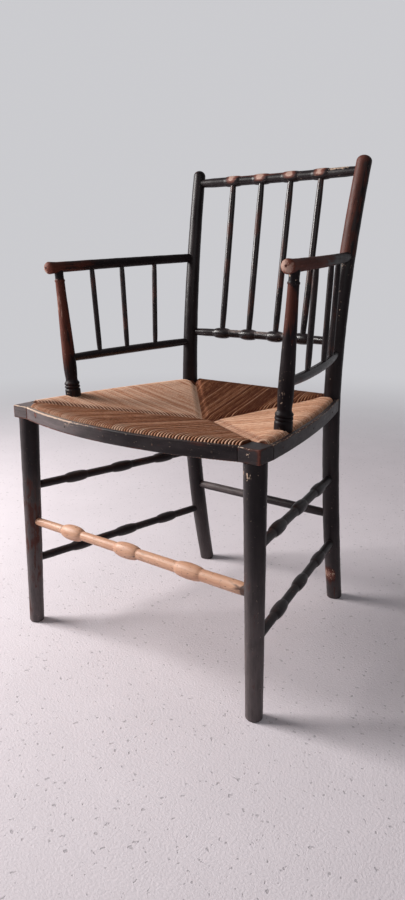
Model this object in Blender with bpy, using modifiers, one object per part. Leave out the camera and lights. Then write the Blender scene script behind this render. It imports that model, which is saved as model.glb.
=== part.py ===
"""An old open armchair with turned members, a spindle back and a rush seat.

The chair stands on the XY plane and faces -Y, with +X to the viewer's right. Lengths are in metres.
A member that enters another has a clearance twin: the same form, grown by FIT_GAP. The twin
drills the socket, so each socket follows its member when a size changes.
"""
import math

import bmesh
import bpy
from mathutils import Vector

# Overall sizes
CHAIR_HEIGHT = 0.856
SEAT_HEIGHT = 0.430
FOOT_DEPTH = 0.439
FIT_GAP = 0.0003
THICK_SIDE_COUNT = 14
THIN_SIDE_COUNT = 10
FLOOR_CUT_DEPTH = 0.006

# Front legs and the blocks on top of them
FRONT_FOOT_X = 0.254
FRONT_FOOT_RADIUS = 0.0136
FRONT_LEG_TOP_RADIUS = 0.0176
BLOCK_FACE_X = 0.263
BLOCK_AHEAD_OF_FEET = 0.0109
BLOCK_SIDE = 0.037
BLOCK_HEIGHT = 0.0225
BLOCK_EDGE = 0.0015
LEG_TENON_RADIUS = 0.008
LEG_TENON_LENGTH = 0.012
LEG_SHOULDER_DROP = 0.0009

# Back posts: one bent member each, from the foot to the domed top
POST_FOOT_X = 0.1664
POST_SEAT_X = 0.1691
POST_TOP_X = 0.1835
POST_SEAT_AHEAD = 0.0555
POST_TOP_BEHIND_SEAT = 0.0577
POST_BEND_POWER = 1.75
POST_FOOT_RADIUS = 0.0149
POST_CALF_RADIUS = 0.0163
POST_CALF_Z = 0.150
POST_SEAT_RADIUS = 0.0156
POST_ARM_RADIUS = {"left": 0.0131, "right": 0.0145}
POST_TOP_RADIUS = {"left": 0.0119, "right": 0.0136}
POST_DOME = 0.010
POST_RING_COUNT = 12

# Seat frame and the strips nailed round it
FRONT_BOW = 0.0363
SIDE_BOW = 0.010
STRIP_THICKNESS = 0.008
STRIP_HEIGHT = 0.0225
STRIP_EDGE = 0.0012
STRIP_BACK_OUTSET = 0.0145
FRONT_STRIP_STEP_COUNT = 16
SIDE_STRIP_STEP_COUNT = 9
RAIL_WIDTH = 0.024
RAIL_HEIGHT = 0.020
RAIL_DROP = 0.0115
RAIL_TENON_SCALE = 0.42
RAIL_TAPER = 0.055
RAIL_TENON_FRONT = 0.0055
RAIL_TENON_SIDE = 0.008
RAIL_TENON_POST = 0.008
SIDE_RAIL_INSET_AT_POST = 0.006
RAIL_RING_COUNT = 9

# Rush: crests over the rails, four panels that dip to a short ridge in the middle
RUSH_WALL = 0.005
RUSH_CREST = 0.0055
RUSH_VALLEY = -0.0330
RUSH_BELLY = -0.0460
RUSH_UNDER_RAIL = 0.0065
RUSH_MIDDLE_Y = 0.222
RUSH_MIDDLE_RIDGE = 0.024
RUSH_FRONT_STRAND_COUNT = 16
RUSH_BACK_STRAND_COUNT = 12
RUSH_MIDDLE_STRAND_COUNT = 2
RUSH_STRAND_RELIEF = 0.0015
RUSH_CREST_REACH = 0.023
RUSH_CREST_TOP = 0.011
RUSH_SHOULDER = 0.003

# Arms with their turned supports, lower rails and spindles
ARM_TIP_X = 0.2478
ARM_TIP_BEHIND_FEET = 0.0706
ARM_TIP_ABOVE_SEAT = 0.2406
LEFT_ARM_TIP_DROP = 0.004
ARM_POST_ABOVE_SEAT = 0.2542
ARM_BOW = 0.0126
ARM_END_RADIUS = 0.0109
ARM_NECK_RADIUS = 0.0096
ARM_POST_RADIUS = 0.0084
ARM_END_DOME = 0.008
ARM_NECK_AT = 0.026
ARM_RING_COUNT = 7
ARM_TENON = 0.009
SUPPORT_FROM_TIP = 0.029
SUPPORT_BEHIND_FEET = 0.1047
SUPPORT_OUTSET = 0.002
SUPPORT_LIFT = 0.0006
SUPPORT_COLLAR_RADIUS = 0.0143
SUPPORT_COLLAR_HEIGHT = 0.0165
SUPPORT_RING_RADIUS = 0.0141
SUPPORT_RING_PITCH = 0.006
SUPPORT_RING_GROOVE = 0.0018
SUPPORT_FOOT_NECK = 0.0110
SUPPORT_BELLY_RADIUS = 0.0122
SUPPORT_BELLY_AT = 0.056
SUPPORT_THROAT_RADIUS = 0.0086
SUPPORT_THROAT_BELOW_ARM = 0.031
SUPPORT_TOP_RING_RADIUS = 0.0094
SUPPORT_TOP_RING_BELOW_ARM = 0.0115
SUPPORT_TOP_RING_HEIGHT = 0.005
SUPPORT_NECK_RADIUS = 0.0079
SUPPORT_TOP_TENON = 0.009
SUPPORT_TENON_RADIUS = 0.0065
SUPPORT_TENON_LENGTH = 0.013
LOWER_RAIL_SUPPORT_ABOVE_SEAT = 0.0735
LOWER_RAIL_POST_ABOVE_SEAT = 0.0835
LOWER_RAIL_BOW = {"left": 0.0060, "right": 0.0125}
LOWER_RAIL_RADIUS = 0.0078
LOWER_RAIL_TENON_RADIUS = 0.0062
LOWER_RAIL_TENON = 0.0075
LOWER_RAIL_RING_COUNT = 8
ARM_SPINDLES_ABOVE = {"left": (0.104, 0.174, 0.251), "right": (0.115, 0.198, 0.247)}
ARM_SPINDLES_BELOW = {"left": (0.0715, 0.136, 0.204), "right": (0.0785, 0.165, 0.2225)}
ARM_SPINDLE_RADIUS = 0.0050
ARM_SPINDLE_END_RADIUS = 0.0042
ARM_SPINDLE_SOCKET = 0.0075
ARM_SPINDLE_SOCKET_BELOW = 0.0050

# Back: two beaded rails with spindles between their matching beads
CREST_BELOW_TOP = 0.0250
CREST_BOW = 0.0082
CREST_RADIUS = 0.0088
CREST_BEAD_RADIUS = 0.0104
CREST_BEAD_LENGTH = 0.034
CREST_TENON_RADIUS = 0.0072
CREST_TENON = 0.009
CREST_SPINDLE_PITCH = 0.0657
LOWER_BACK_ABOVE_SEAT = 0.1035
LOWER_BACK_BOW = 0.0125
LOWER_BACK_RADIUS = 0.0078
LOWER_BACK_BEAD_RADIUS = 0.0110
LOWER_BACK_BEAD_LENGTH = 0.034
LOWER_BACK_TENON_RADIUS = 0.0066
LOWER_BACK_TENON = 0.008
LOWER_SPINDLE_PITCH = 0.0628
BACK_SPINDLE_COUNT = 4
BACK_SPINDLE_RADIUS = 0.0062
BACK_SPINDLE_END_RADIUS = 0.0052
BACK_SPINDLE_SOCKET = 0.008

# Stretchers
FRONT_STRETCHER_Z = 0.2084
FRONT_STRETCHER_RADII = (0.0074, 0.0104)
FRONT_STRETCHER_TENON_RADIUS = 0.0068
FRONT_BEAD_RADII = (0.0137, 0.0134, 0.0130)
FRONT_BEAD_LENGTH = 0.048
FRONT_BEAD_PITCH = 0.1330
FRONT_BEAD_SHIFT = -0.006
UPPER_STRETCHER_FRONT_Z = 0.2755
UPPER_STRETCHER_BACK_Z = 0.2720
LOWER_STRETCHER_FRONT_Z = 0.1294
LOWER_STRETCHER_BACK_Z = 0.1340
SIDE_STRETCHER_RADIUS = 0.0077
SIDE_STRETCHER_TENON_RADIUS = 0.0064
SIDE_BEAD_RADIUS = 0.0106
SIDE_BEAD_LENGTH = 0.046
SIDE_BEAD_PITCH = 0.1070
SIDE_BEAD_SHIFT = 0.004
BACK_STRETCHER_Z = 0.1931
BACK_STRETCHER_RADIUS = 0.0084
STRETCHER_SOCKET = 0.010

# Nails of the strips
NAIL_RADIUS = 0.0008
NAIL_HEAD_RADIUS = 0.0017
NAIL_HEAD_HEIGHT = 0.0006
NAIL_LENGTH = 0.0200
NAIL_SIDE_COUNT = 6
FRONT_NAIL_COUNT = 5
FRONT_NAIL_PITCH = 0.095
SIDE_NAILS_BEHIND_FEET = (0.058, 0.190, 0.318)

# Places worked out from the sizes above; the box's middle is at Y = 0
FRONT_FOOT_Y = -(FOOT_DEPTH + POST_FOOT_RADIUS - BLOCK_AHEAD_OF_FEET - FRONT_BOW) / 2
FRONT_FACE_Y = FRONT_FOOT_Y - BLOCK_AHEAD_OF_FEET
BACK_FOOT_Y = FRONT_FOOT_Y + FOOT_DEPTH
POST_SEAT_Y = BACK_FOOT_Y - POST_SEAT_AHEAD
POST_TOP_Y = POST_SEAT_Y + POST_TOP_BEHIND_SEAT
BLOCK_BOTTOM = SEAT_HEIGHT - BLOCK_HEIGHT
BLOCK_X = BLOCK_FACE_X - BLOCK_SIDE / 2
BLOCK_Y = FRONT_FACE_Y + BLOCK_SIDE / 2
BLOCK_INNER_X = BLOCK_FACE_X - BLOCK_SIDE
BLOCK_BACK_Y = FRONT_FACE_Y + BLOCK_SIDE
RAIL_Z = SEAT_HEIGHT - RAIL_DROP
ARM_TIP_Z = SEAT_HEIGHT + ARM_TIP_ABOVE_SEAT
ARM_POST_Z = SEAT_HEIGHT + ARM_POST_ABOVE_SEAT
LOWER_RAIL_SUPPORT_Z = SEAT_HEIGHT + LOWER_RAIL_SUPPORT_ABOVE_SEAT
LOWER_RAIL_POST_Z = SEAT_HEIGHT + LOWER_RAIL_POST_ABOVE_SEAT
LOWER_BACK_Z = SEAT_HEIGHT + LOWER_BACK_ABOVE_SEAT
CREST_Z = CHAIR_HEIGHT - CREST_BELOW_TOP
RAIL_INSET = STRIP_THICKNESS + RUSH_WALL + RAIL_WIDTH / 2 + 2 * FIT_GAP
SIDE_SIGNS = {"left": -1, "right": 1}

FINISHES = {
    "black_paint": ((0.026, 0.020, 0.023, 1), 0.38, 0.0),
    "worn_brown_paint": ((0.150, 0.062, 0.042, 1), 0.42, 0.0),
    "bare_wood": ((0.560, 0.300, 0.170, 1), 0.55, 0.0),
    "hidden_wood": ((0.330, 0.200, 0.110, 1), 0.70, 0.0),
    "rush": ((0.480, 0.300, 0.150, 1), 0.75, 0.0),
    "iron": ((0.100, 0.085, 0.080, 1), 0.55, 0.9),
}


def clear_scene():
    """Removes every object that the start-up scene holds."""
    for obj in list(bpy.data.objects):
        bpy.data.objects.remove(obj, do_unlink=True)


def new_collection(name):
    collection = bpy.data.collections.new(name)
    bpy.context.scene.collection.children.link(collection)
    return collection


def new_finish(name):
    """A Principled material for one of the named finishes."""
    colour, roughness, metallic = FINISHES[name]
    material = bpy.data.materials.new(name)
    material.use_nodes = True
    shader = material.node_tree.nodes["Principled BSDF"]
    shader.inputs["Base Color"].default_value = colour
    shader.inputs["Roughness"].default_value = roughness
    shader.inputs["Metallic"].default_value = metallic
    material.diffuse_color = colour
    return material


def blend(low, high, share):
    return low + (high - low) * share


def interpolate(knots, place):
    """The value at a place between knots, which are (place, value) pairs in rising order."""
    if place <= knots[0][0]:
        return knots[0][1]
    for (low, low_value), (high, high_value) in zip(knots, knots[1:]):
        if place <= high:
            return blend(low_value, high_value, (place - low) / (high - low))
    return knots[-1][1]


def grown_profile(profile, gap):
    """A turned profile of (distance, radius) pairs, moved outwards by a gap, ends included."""
    line = [(profile[0][0], 0.0)] + list(profile) + [(profile[-1][0], 0.0)]
    moved = []
    for before, here, after in zip(line, line[1:], line[2:]):
        arriving = Vector((here[0] - before[0], here[1] - before[1])).normalized()
        leaving = Vector((after[0] - here[0], after[1] - here[1])).normalized()
        normal_in = Vector((-arriving.y, arriving.x))
        normal_out = Vector((-leaving.y, leaving.x))
        middle = (normal_in + normal_out).normalized()
        reach = gap / max(middle.dot(normal_in), 0.5)
        moved.append((here[0] + middle.x * reach, here[1] + middle.y * reach))
    return moved


class Workshop:
    """Makes pieces and cutters and keeps them in their collections."""

    def __init__(self):
        self.parts = new_collection("peeling_paint_chair")
        self.cutters = new_collection("cutters")
        self.finishes = {name: new_finish(name) for name in FINISHES}
        self.pieces = {}

    def keep(self, obj, finish):
        """Files a finished piece under its name."""
        obj.data.materials.append(self.finishes[finish])
        self.parts.objects.link(obj)
        self.pieces[obj.name] = obj
        return obj

    def keep_cutter(self, obj):
        obj.hide_render = True
        obj.display_type = "WIRE"
        self.cutters.objects.link(obj)
        return obj

    def cut(self, target_names, cutter):
        """Takes the cutter away from each named piece."""
        for name in target_names:
            step = self.pieces[name].modifiers.new("cut_" + cutter.name, "BOOLEAN")
            step.operation = "DIFFERENCE"
            step.solver = "EXACT"
            step.object = cutter

    def turned(self, name, start, end, profile, finish, enters=(), sides=THIN_SIDE_COUNT):
        """A turned piece about the line from start to end, and sockets in what it enters."""
        piece = self.keep(screw_object(name, start, end, profile, sides), finish)
        if enters:
            wide = grown_profile(profile, FIT_GAP)
            twin = screw_object(name + "_clearance", start, end, wide, sides)
            self.cut(enters, self.keep_cutter(twin))
        return piece

    def bar(self, name, path, radii, finish, enters=(), sides=THIN_SIDE_COUNT):
        """A round bar along a path with a radius at each point, and sockets in what it enters."""
        piece = self.keep(curve_mesh_object(name, path, radii, sides), finish)
        if enters:
            self.cut(enters, self.bar_twin(name, path, radii, sides))
        return piece

    def bar_twin(self, name, path, radii, sides):
        wide = [radius + FIT_GAP for radius in radii]
        twin = curve_mesh_object(name + "_clearance", lengthened(path, FIT_GAP), wide, sides)
        return self.keep_cutter(twin)


def lengthened(path, gap):
    """The same path with both ends moved outwards by a gap."""
    longer = [Vector(point) for point in path]
    longer[0] += (longer[0] - longer[1]).normalized() * gap
    longer[-1] += (longer[-1] - longer[-2]).normalized() * gap
    return longer


def screw_object(name, start, end, profile, sides):
    """Turns a profile of (distance from start, radius) pairs about the line from start to end."""
    outline = [(profile[-1][0], 0.0)] + list(reversed(profile)) + [(profile[0][0], 0.0)]
    mesh = bpy.data.meshes.new(name)
    points = [(radius, 0.0, distance) for distance, radius in outline]
    edges = [(index, index + 1) for index in range(len(points) - 1)]
    mesh.from_pydata(points, edges, [])
    obj = bpy.data.objects.new(name, mesh)
    obj.location = start
    obj.rotation_euler = (Vector(end) - Vector(start)).to_track_quat("Z", "Y").to_euler()
    screw = obj.modifiers.new("turn", "SCREW")
    screw.axis = "Z"
    screw.steps = sides
    screw.render_steps = sides
    screw.use_merge_vertices = True
    screw.merge_threshold = 0.00002
    screw.use_smooth_shade = True
    return obj


def mesh_from_curve(curve_object, name):
    """A closed mesh object from a curve object, with its caps welded; the curve is removed."""
    bpy.context.scene.collection.objects.link(curve_object)
    graph = bpy.context.evaluated_depsgraph_get()
    mesh = bpy.data.meshes.new_from_object(curve_object.evaluated_get(graph))
    mesh.name = name
    shape = bmesh.new()
    shape.from_mesh(mesh)
    bmesh.ops.remove_doubles(shape, verts=shape.verts, dist=0.000001)
    bmesh.ops.recalc_face_normals(shape, faces=shape.faces)
    shape.to_mesh(mesh)
    shape.free()
    mesh.shade_smooth()
    mesh.set_sharp_from_angle(angle=math.radians(40))
    obj = bpy.data.objects.new(name, mesh)
    obj.matrix_world = curve_object.matrix_world
    bpy.data.objects.remove(curve_object, do_unlink=True)
    return obj


def curve_mesh_object(name, path, radii, sides, section=None):
    """A bar along a path: round with a radius for each point, or a section scaled by it."""
    curve = bpy.data.curves.new(name + "_line", "CURVE")
    curve.dimensions = "3D"
    spline = curve.splines.new("POLY")
    spline.points.add(len(path) - 1)
    for point, place, radius in zip(spline.points, path, radii):
        point.co = (*place, 1.0)
        point.radius = radius
    if section is None:
        curve.bevel_depth = 1.0
        curve.bevel_resolution = sides // 2 - 2
    else:
        curve.twist_mode = "Z_UP"
        curve.bevel_mode = "OBJECT"
        curve.bevel_object = section
    curve.use_fill_caps = True
    return mesh_from_curve(bpy.data.objects.new(name + "_line", curve), name)


def oval_section(name, width, height, corners=10):
    """A closed oval curve, the section of a seat rail."""
    curve = bpy.data.curves.new(name, "CURVE")
    curve.dimensions = "2D"
    curve.fill_mode = "NONE"
    spline = curve.splines.new("POLY")
    spline.points.add(corners - 1)
    for index, point in enumerate(spline.points):
        angle = 2 * math.pi * index / corners
        point.co = (math.cos(angle) * width / 2, math.sin(angle) * height / 2, 0.0, 1.0)
    spline.use_cyclic_u = True
    obj = bpy.data.objects.new(name, curve)
    bpy.context.scene.collection.objects.link(obj)
    return obj


def box_object(name, low, high):
    """A box between two corners, from a cube primitive whose scale is in its mesh."""
    shape = bmesh.new()
    bmesh.ops.create_cube(shape, size=1.0)
    low, high = Vector(low), Vector(high)
    size = high - low
    for vertex in shape.verts:
        vertex.co = Vector(
            (vertex.co.x * size.x, vertex.co.y * size.y, vertex.co.z * size.z)
        )
    mesh = bpy.data.meshes.new(name)
    shape.to_mesh(mesh)
    shape.free()
    obj = bpy.data.objects.new(name, mesh)
    obj.location = (low + high) / 2
    return obj


def plate_object(name, outline, low, high, edge):
    """A flat outline in plan, extruded between two heights, with its edges rounded."""
    curve = bpy.data.curves.new(name + "_outline", "CURVE")
    curve.dimensions = "2D"
    curve.fill_mode = "BOTH"
    curve.extrude = (high - low) / 2
    spline = curve.splines.new("POLY")
    spline.points.add(len(outline) - 1)
    for point, (x, y) in zip(spline.points, outline):
        point.co = (x, y, 0.0, 1.0)
    spline.use_cyclic_u = True
    line = bpy.data.objects.new(name + "_outline", curve)
    line.location = (0.0, 0.0, (low + high) / 2)
    bpy.context.scene.collection.objects.link(line)
    bpy.context.view_layer.update()
    bpy.context.scene.collection.objects.unlink(line)
    obj = mesh_from_curve(line, name)
    bevel = obj.modifiers.new("soft_edges", "BEVEL")
    bevel.width = edge
    bevel.segments = 2
    bevel.limit_method = "ANGLE"
    bevel.angle_limit = math.radians(40)
    return obj


# Where the members run


def leg_point(sign, z):
    """The axis of a front leg, from its foot to the middle of its block."""
    share = z / BLOCK_BOTTOM
    x = blend(FRONT_FOOT_X, BLOCK_X, share)
    return Vector((sign * x, blend(FRONT_FOOT_Y, BLOCK_Y, share), z))


def leg_radius(z):
    return blend(FRONT_FOOT_RADIUS, FRONT_LEG_TOP_RADIUS, z / BLOCK_BOTTOM)


def post_point(sign, z):
    """The axis of a back post, which bends away from its place at the seat."""
    if z < SEAT_HEIGHT:
        share = ((SEAT_HEIGHT - z) / SEAT_HEIGHT) ** POST_BEND_POWER
        x, y = blend(POST_SEAT_X, POST_FOOT_X, share), blend(POST_SEAT_Y, BACK_FOOT_Y, share)
    else:
        share = ((z - SEAT_HEIGHT) / (CHAIR_HEIGHT - SEAT_HEIGHT)) ** POST_BEND_POWER
        x, y = blend(POST_SEAT_X, POST_TOP_X, share), blend(POST_SEAT_Y, POST_TOP_Y, share)
    return Vector((sign * x, y, z))


def post_radius(sign, z):
    side = "left" if sign < 0 else "right"
    knots = (
        (0.0, POST_FOOT_RADIUS),
        (POST_CALF_Z, POST_CALF_RADIUS),
        (SEAT_HEIGHT, POST_SEAT_RADIUS),
        (ARM_POST_Z, POST_ARM_RADIUS[side]),
        (CHAIR_HEIGHT, POST_TOP_RADIUS[side]),
    )
    return interpolate(knots, z)


def front_face_y(x):
    """The outer face of the front strip, bowed forwards between the blocks."""
    return FRONT_FACE_Y - FRONT_BOW * (1 - (x / BLOCK_INNER_X) ** 2)


def side_share(y):
    return (y - BLOCK_BACK_Y) / (POST_SEAT_Y - BLOCK_BACK_Y)


def side_face_x(y):
    """The outer face of a side strip, bowed outwards between its block and its post."""
    share = side_share(y)
    back_x = POST_SEAT_X + STRIP_BACK_OUTSET
    return blend(BLOCK_FACE_X, back_x, share) + SIDE_BOW * 4 * share * (1 - share)


def side_rail_x(y):
    share = side_share(y)
    front_x = BLOCK_FACE_X - RAIL_INSET
    back_x = POST_SEAT_X - SIDE_RAIL_INSET_AT_POST
    return blend(front_x, back_x, share) + SIDE_BOW * 4 * share * (1 - share)


def bowed_point(start, end, share, bow, outwards):
    """A point between start and end, pushed along outwards by a bow that is 0 at both ends."""
    return start.lerp(end, share) + Vector(outwards) * (bow * 4 * share * (1 - share))


def arm_point(sign, share):
    tip = Vector((sign * ARM_TIP_X, FRONT_FOOT_Y + ARM_TIP_BEHIND_FEET, ARM_TIP_Z))
    if sign < 0:
        tip.z -= LEFT_ARM_TIP_DROP
    return bowed_point(tip, post_point(sign, ARM_POST_Z), share, ARM_BOW, (sign, 0, 0))


def arm_length(sign):
    return (arm_point(sign, 1.0) - arm_point(sign, 0.0)).length


def arm_radius(distance, length):
    """The arm's radius at a distance from its tip: a domed blunt end, then a long taper."""
    if distance < ARM_END_DOME:
        return ARM_END_RADIUS * math.sqrt(1 - (1 - distance / ARM_END_DOME) ** 2)
    knots = (
        (ARM_END_DOME, ARM_END_RADIUS),
        (ARM_NECK_AT, ARM_NECK_RADIUS),
        (length, ARM_POST_RADIUS),
    )
    return interpolate(knots, distance)


def support_base(sign):
    y = FRONT_FOOT_Y + SUPPORT_BEHIND_FEET
    x = side_rail_x(y) + SUPPORT_OUTSET
    return Vector((sign * x, y, SEAT_HEIGHT + SUPPORT_LIFT))


def support_top(sign):
    """Where the axis of a support meets the underside of its arm."""
    length = arm_length(sign)
    place = arm_point(sign, SUPPORT_FROM_TIP / length)
    return place - Vector((0, 0, arm_radius(SUPPORT_FROM_TIP, length)))


def support_point(sign, z):
    base, top = support_base(sign), support_top(sign)
    return base.lerp(top, (z - base.z) / (top.z - base.z))


def lower_rail_point(sign, share):
    start = support_point(sign, LOWER_RAIL_SUPPORT_Z)
    end = post_point(sign, LOWER_RAIL_POST_Z)
    bow = LOWER_RAIL_BOW["left" if sign < 0 else "right"]
    return bowed_point(start, end, share, bow, (sign, 0, 0))


def back_rail_point(z, bow, x):
    """A point of a rail between the posts at a height, bowed backwards in the middle."""
    end = post_point(1, z)
    return Vector((x, end.y + bow * (1 - (x / end.x) ** 2), z))


def shortened(start, end, keep_start, keep_end):
    """A line's ends, each moved inwards by its own distance."""
    along = (end - start).normalized()
    return start + along * keep_start, end - along * keep_end


def rod_profile(length, radius, end_radius, taper=0.03):
    """A plain stick, slimmer at both ends."""
    return [(0.0, end_radius), (taper, radius), (length - taper, radius), (length, end_radius)]


def bead_stations(centre, half, rod_radius, bead_radius):
    """One long bead on a rod, as (distance, radius) pairs on a half oval."""
    pairs = []
    for step in (-1.0, -0.8, -0.3, 0.3, 0.8, 1.0):
        swell = math.sqrt(max(1 - step * step, 0.0))
        pairs.append((centre + half * step, blend(rod_radius, bead_radius, swell)))
    return pairs


# The pieces


def make_front_legs(shop):
    for side, sign in SIDE_SIGNS.items():
        block = box_object(
            "corner_block_" + side,
            (sign * BLOCK_X - BLOCK_SIDE / 2, FRONT_FACE_Y, BLOCK_BOTTOM),
            (sign * BLOCK_X + BLOCK_SIDE / 2, BLOCK_BACK_Y, SEAT_HEIGHT),
        )
        bevel = block.modifiers.new("soft_edges", "BEVEL")
        bevel.width = BLOCK_EDGE
        bevel.segments = 1
        shop.keep(block, "black_paint")
        foot, top = leg_point(sign, 0.0), leg_point(sign, BLOCK_BOTTOM)
        length = (top - foot).length
        shoulder = length - LEG_SHOULDER_DROP
        profile = [
            (-FLOOR_CUT_DEPTH / 2, FRONT_FOOT_RADIUS * 0.94),
            (0.002, FRONT_FOOT_RADIUS),
            (shoulder - 0.003, FRONT_LEG_TOP_RADIUS),
            (shoulder, FRONT_LEG_TOP_RADIUS * 0.95),
            (shoulder, LEG_TENON_RADIUS),
            (length + LEG_TENON_LENGTH, LEG_TENON_RADIUS),
        ]
        block_name = "corner_block_" + side
        shop.turned("front_leg_" + side, foot, top, profile, "black_paint",
                    enters=(block_name,), sides=THICK_SIDE_COUNT)


def post_path(sign):
    """The points and radii of a back post, with its domed top."""
    path, radii = [], []
    dome_start = CHAIR_HEIGHT - POST_DOME
    bottom = post_point(sign, 0.0)
    path.append(bottom - Vector((0, 0, FLOOR_CUT_DEPTH / 2)))
    radii.append(POST_FOOT_RADIUS * 0.96)
    for step in range(POST_RING_COUNT):
        z = dome_start * step / (POST_RING_COUNT - 1)
        path.append(post_point(sign, z))
        radii.append(post_radius(sign, z))
    for rise in (0.45, 0.78, 0.95, 1.0):
        z = dome_start + POST_DOME * rise
        path.append(post_point(sign, z))
        radii.append(post_radius(sign, CHAIR_HEIGHT) * max(math.sqrt(1 - rise * rise), 0.16))
    return path, radii


def make_back_posts(shop):
    """Both posts, and a clearance twin of each, which trims what ends against it."""
    twins = {}
    for side, sign in SIDE_SIGNS.items():
        path, radii = post_path(sign)
        name = "back_post_" + side
        shop.bar(name, path, radii, "black_paint", sides=THICK_SIDE_COUNT)
        twins[side] = shop.bar_twin(name, path, radii, THICK_SIDE_COUNT)
    return twins


def cut_feet_flat(shop):
    """Trims the four feet to the floor."""
    cutter = box_object(
        "floor_cutter", (-0.4, -0.4, -FLOOR_CUT_DEPTH * 2), (0.4, 0.4, 0.0)
    )
    names = [member + side for member in ("front_leg_", "back_post_") for side in SIDE_SIGNS]
    shop.cut(names, shop.keep_cutter(cutter))


def rail_scales(path, taper, tenon_scale):
    """The section's scale along a seat rail: full in the middle, slim at the tenons."""
    first, last = Vector(path[0]), Vector(path[-1])
    scales = []
    for point in path:
        reach = min((point - first).length, (point - last).length)
        scales.append(blend(tenon_scale, 1.0, min(reach / taper, 1.0)))
    return scales


def seat_rail(shop, name, path, sections, enters):
    """A seat rail of oval section, and the tunnel or socket it needs in other pieces."""
    scales = rail_scales(path, RAIL_TAPER, RAIL_TENON_SCALE)
    shop.keep(curve_mesh_object(name, path, scales, 0, sections[0]), "hidden_wood")
    twin = curve_mesh_object(
        name + "_clearance", lengthened(path, FIT_GAP), scales, 0, sections[1]
    )
    shop.cut(enters, shop.keep_cutter(twin))


def rail_path(ends, place):
    """Points of a rail between two values, with extra ones where it tapers to its tenons."""
    low, high = ends
    span = high - low
    near = RAIL_TAPER * (1 if span > 0 else -1)
    inner = [low + near + (span - 2 * near) * step / (RAIL_RING_COUNT - 5)
             for step in range(RAIL_RING_COUNT - 4)]
    values = [low, low + near * 0.5] + inner + [high - near * 0.5, high]
    return [place(value) for value in values]


def make_seat_rails(shop):
    wide = FIT_GAP * 2 / RAIL_TENON_SCALE
    sections = (
        oval_section("rail_section", RAIL_WIDTH, RAIL_HEIGHT),
        oval_section("rail_clearance_section", RAIL_WIDTH + wide, RAIL_HEIGHT + wide),
    )
    reach = BLOCK_INNER_X + RAIL_TENON_FRONT
    front = rail_path(
        (-reach, reach), lambda x: Vector((x, front_face_y(x) + RAIL_INSET, RAIL_Z))
    )
    seat_rail(shop, "front_seat_rail", front, sections,
              ("corner_block_left", "corner_block_right", "rush_seat"))
    keep = post_radius(1, RAIL_Z) - RAIL_TENON_POST
    reach = POST_SEAT_X - keep
    back = rail_path((-reach, reach), lambda x: Vector((x, POST_SEAT_Y, RAIL_Z)))
    seat_rail(shop, "back_seat_rail", back, sections,
              ("back_post_left", "back_post_right", "rush_seat"))
    for side, sign in SIDE_SIGNS.items():
        ends = (BLOCK_BACK_Y - RAIL_TENON_SIDE, POST_SEAT_Y - keep)
        path = rail_path(ends, lambda y: Vector((sign * side_rail_x(y), y, RAIL_Z)))
        seat_rail(shop, "side_seat_rail_" + side, path, sections,
                  ("corner_block_" + side, "back_post_" + side, "rush_seat"))
    for section in sections:
        bpy.data.objects.remove(section, do_unlink=True)


def make_strips(shop, post_twins):
    """The three thin strips nailed round the rush's edge."""
    low = SEAT_HEIGHT - STRIP_HEIGHT
    end = BLOCK_INNER_X - FIT_GAP
    count = FRONT_STRIP_STEP_COUNT
    xs = [blend(-end, end, step / count) for step in range(count + 1)]
    outline = [(x, front_face_y(x)) for x in xs]
    outline += [(x, front_face_y(x) + STRIP_THICKNESS) for x in reversed(xs)]
    front = plate_object("edge_strip_front", outline, low, SEAT_HEIGHT, STRIP_EDGE)
    shop.keep(front, "black_paint")
    count = SIDE_STRIP_STEP_COUNT
    start, stop = BLOCK_BACK_Y + FIT_GAP, POST_SEAT_Y - POST_SEAT_RADIUS / 3
    ys = [blend(start, stop, step / count) for step in range(count + 1)]
    for side, sign in SIDE_SIGNS.items():
        outline = [(sign * side_face_x(y), y) for y in ys]
        outline += [(sign * (side_face_x(y) - STRIP_THICKNESS), y) for y in reversed(ys)]
        strip = plate_object("edge_strip_" + side, outline, low, SEAT_HEIGHT, STRIP_EDGE)
        shop.keep(strip, "black_paint")
        shop.cut(("edge_strip_" + side,), post_twins[side])


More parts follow.
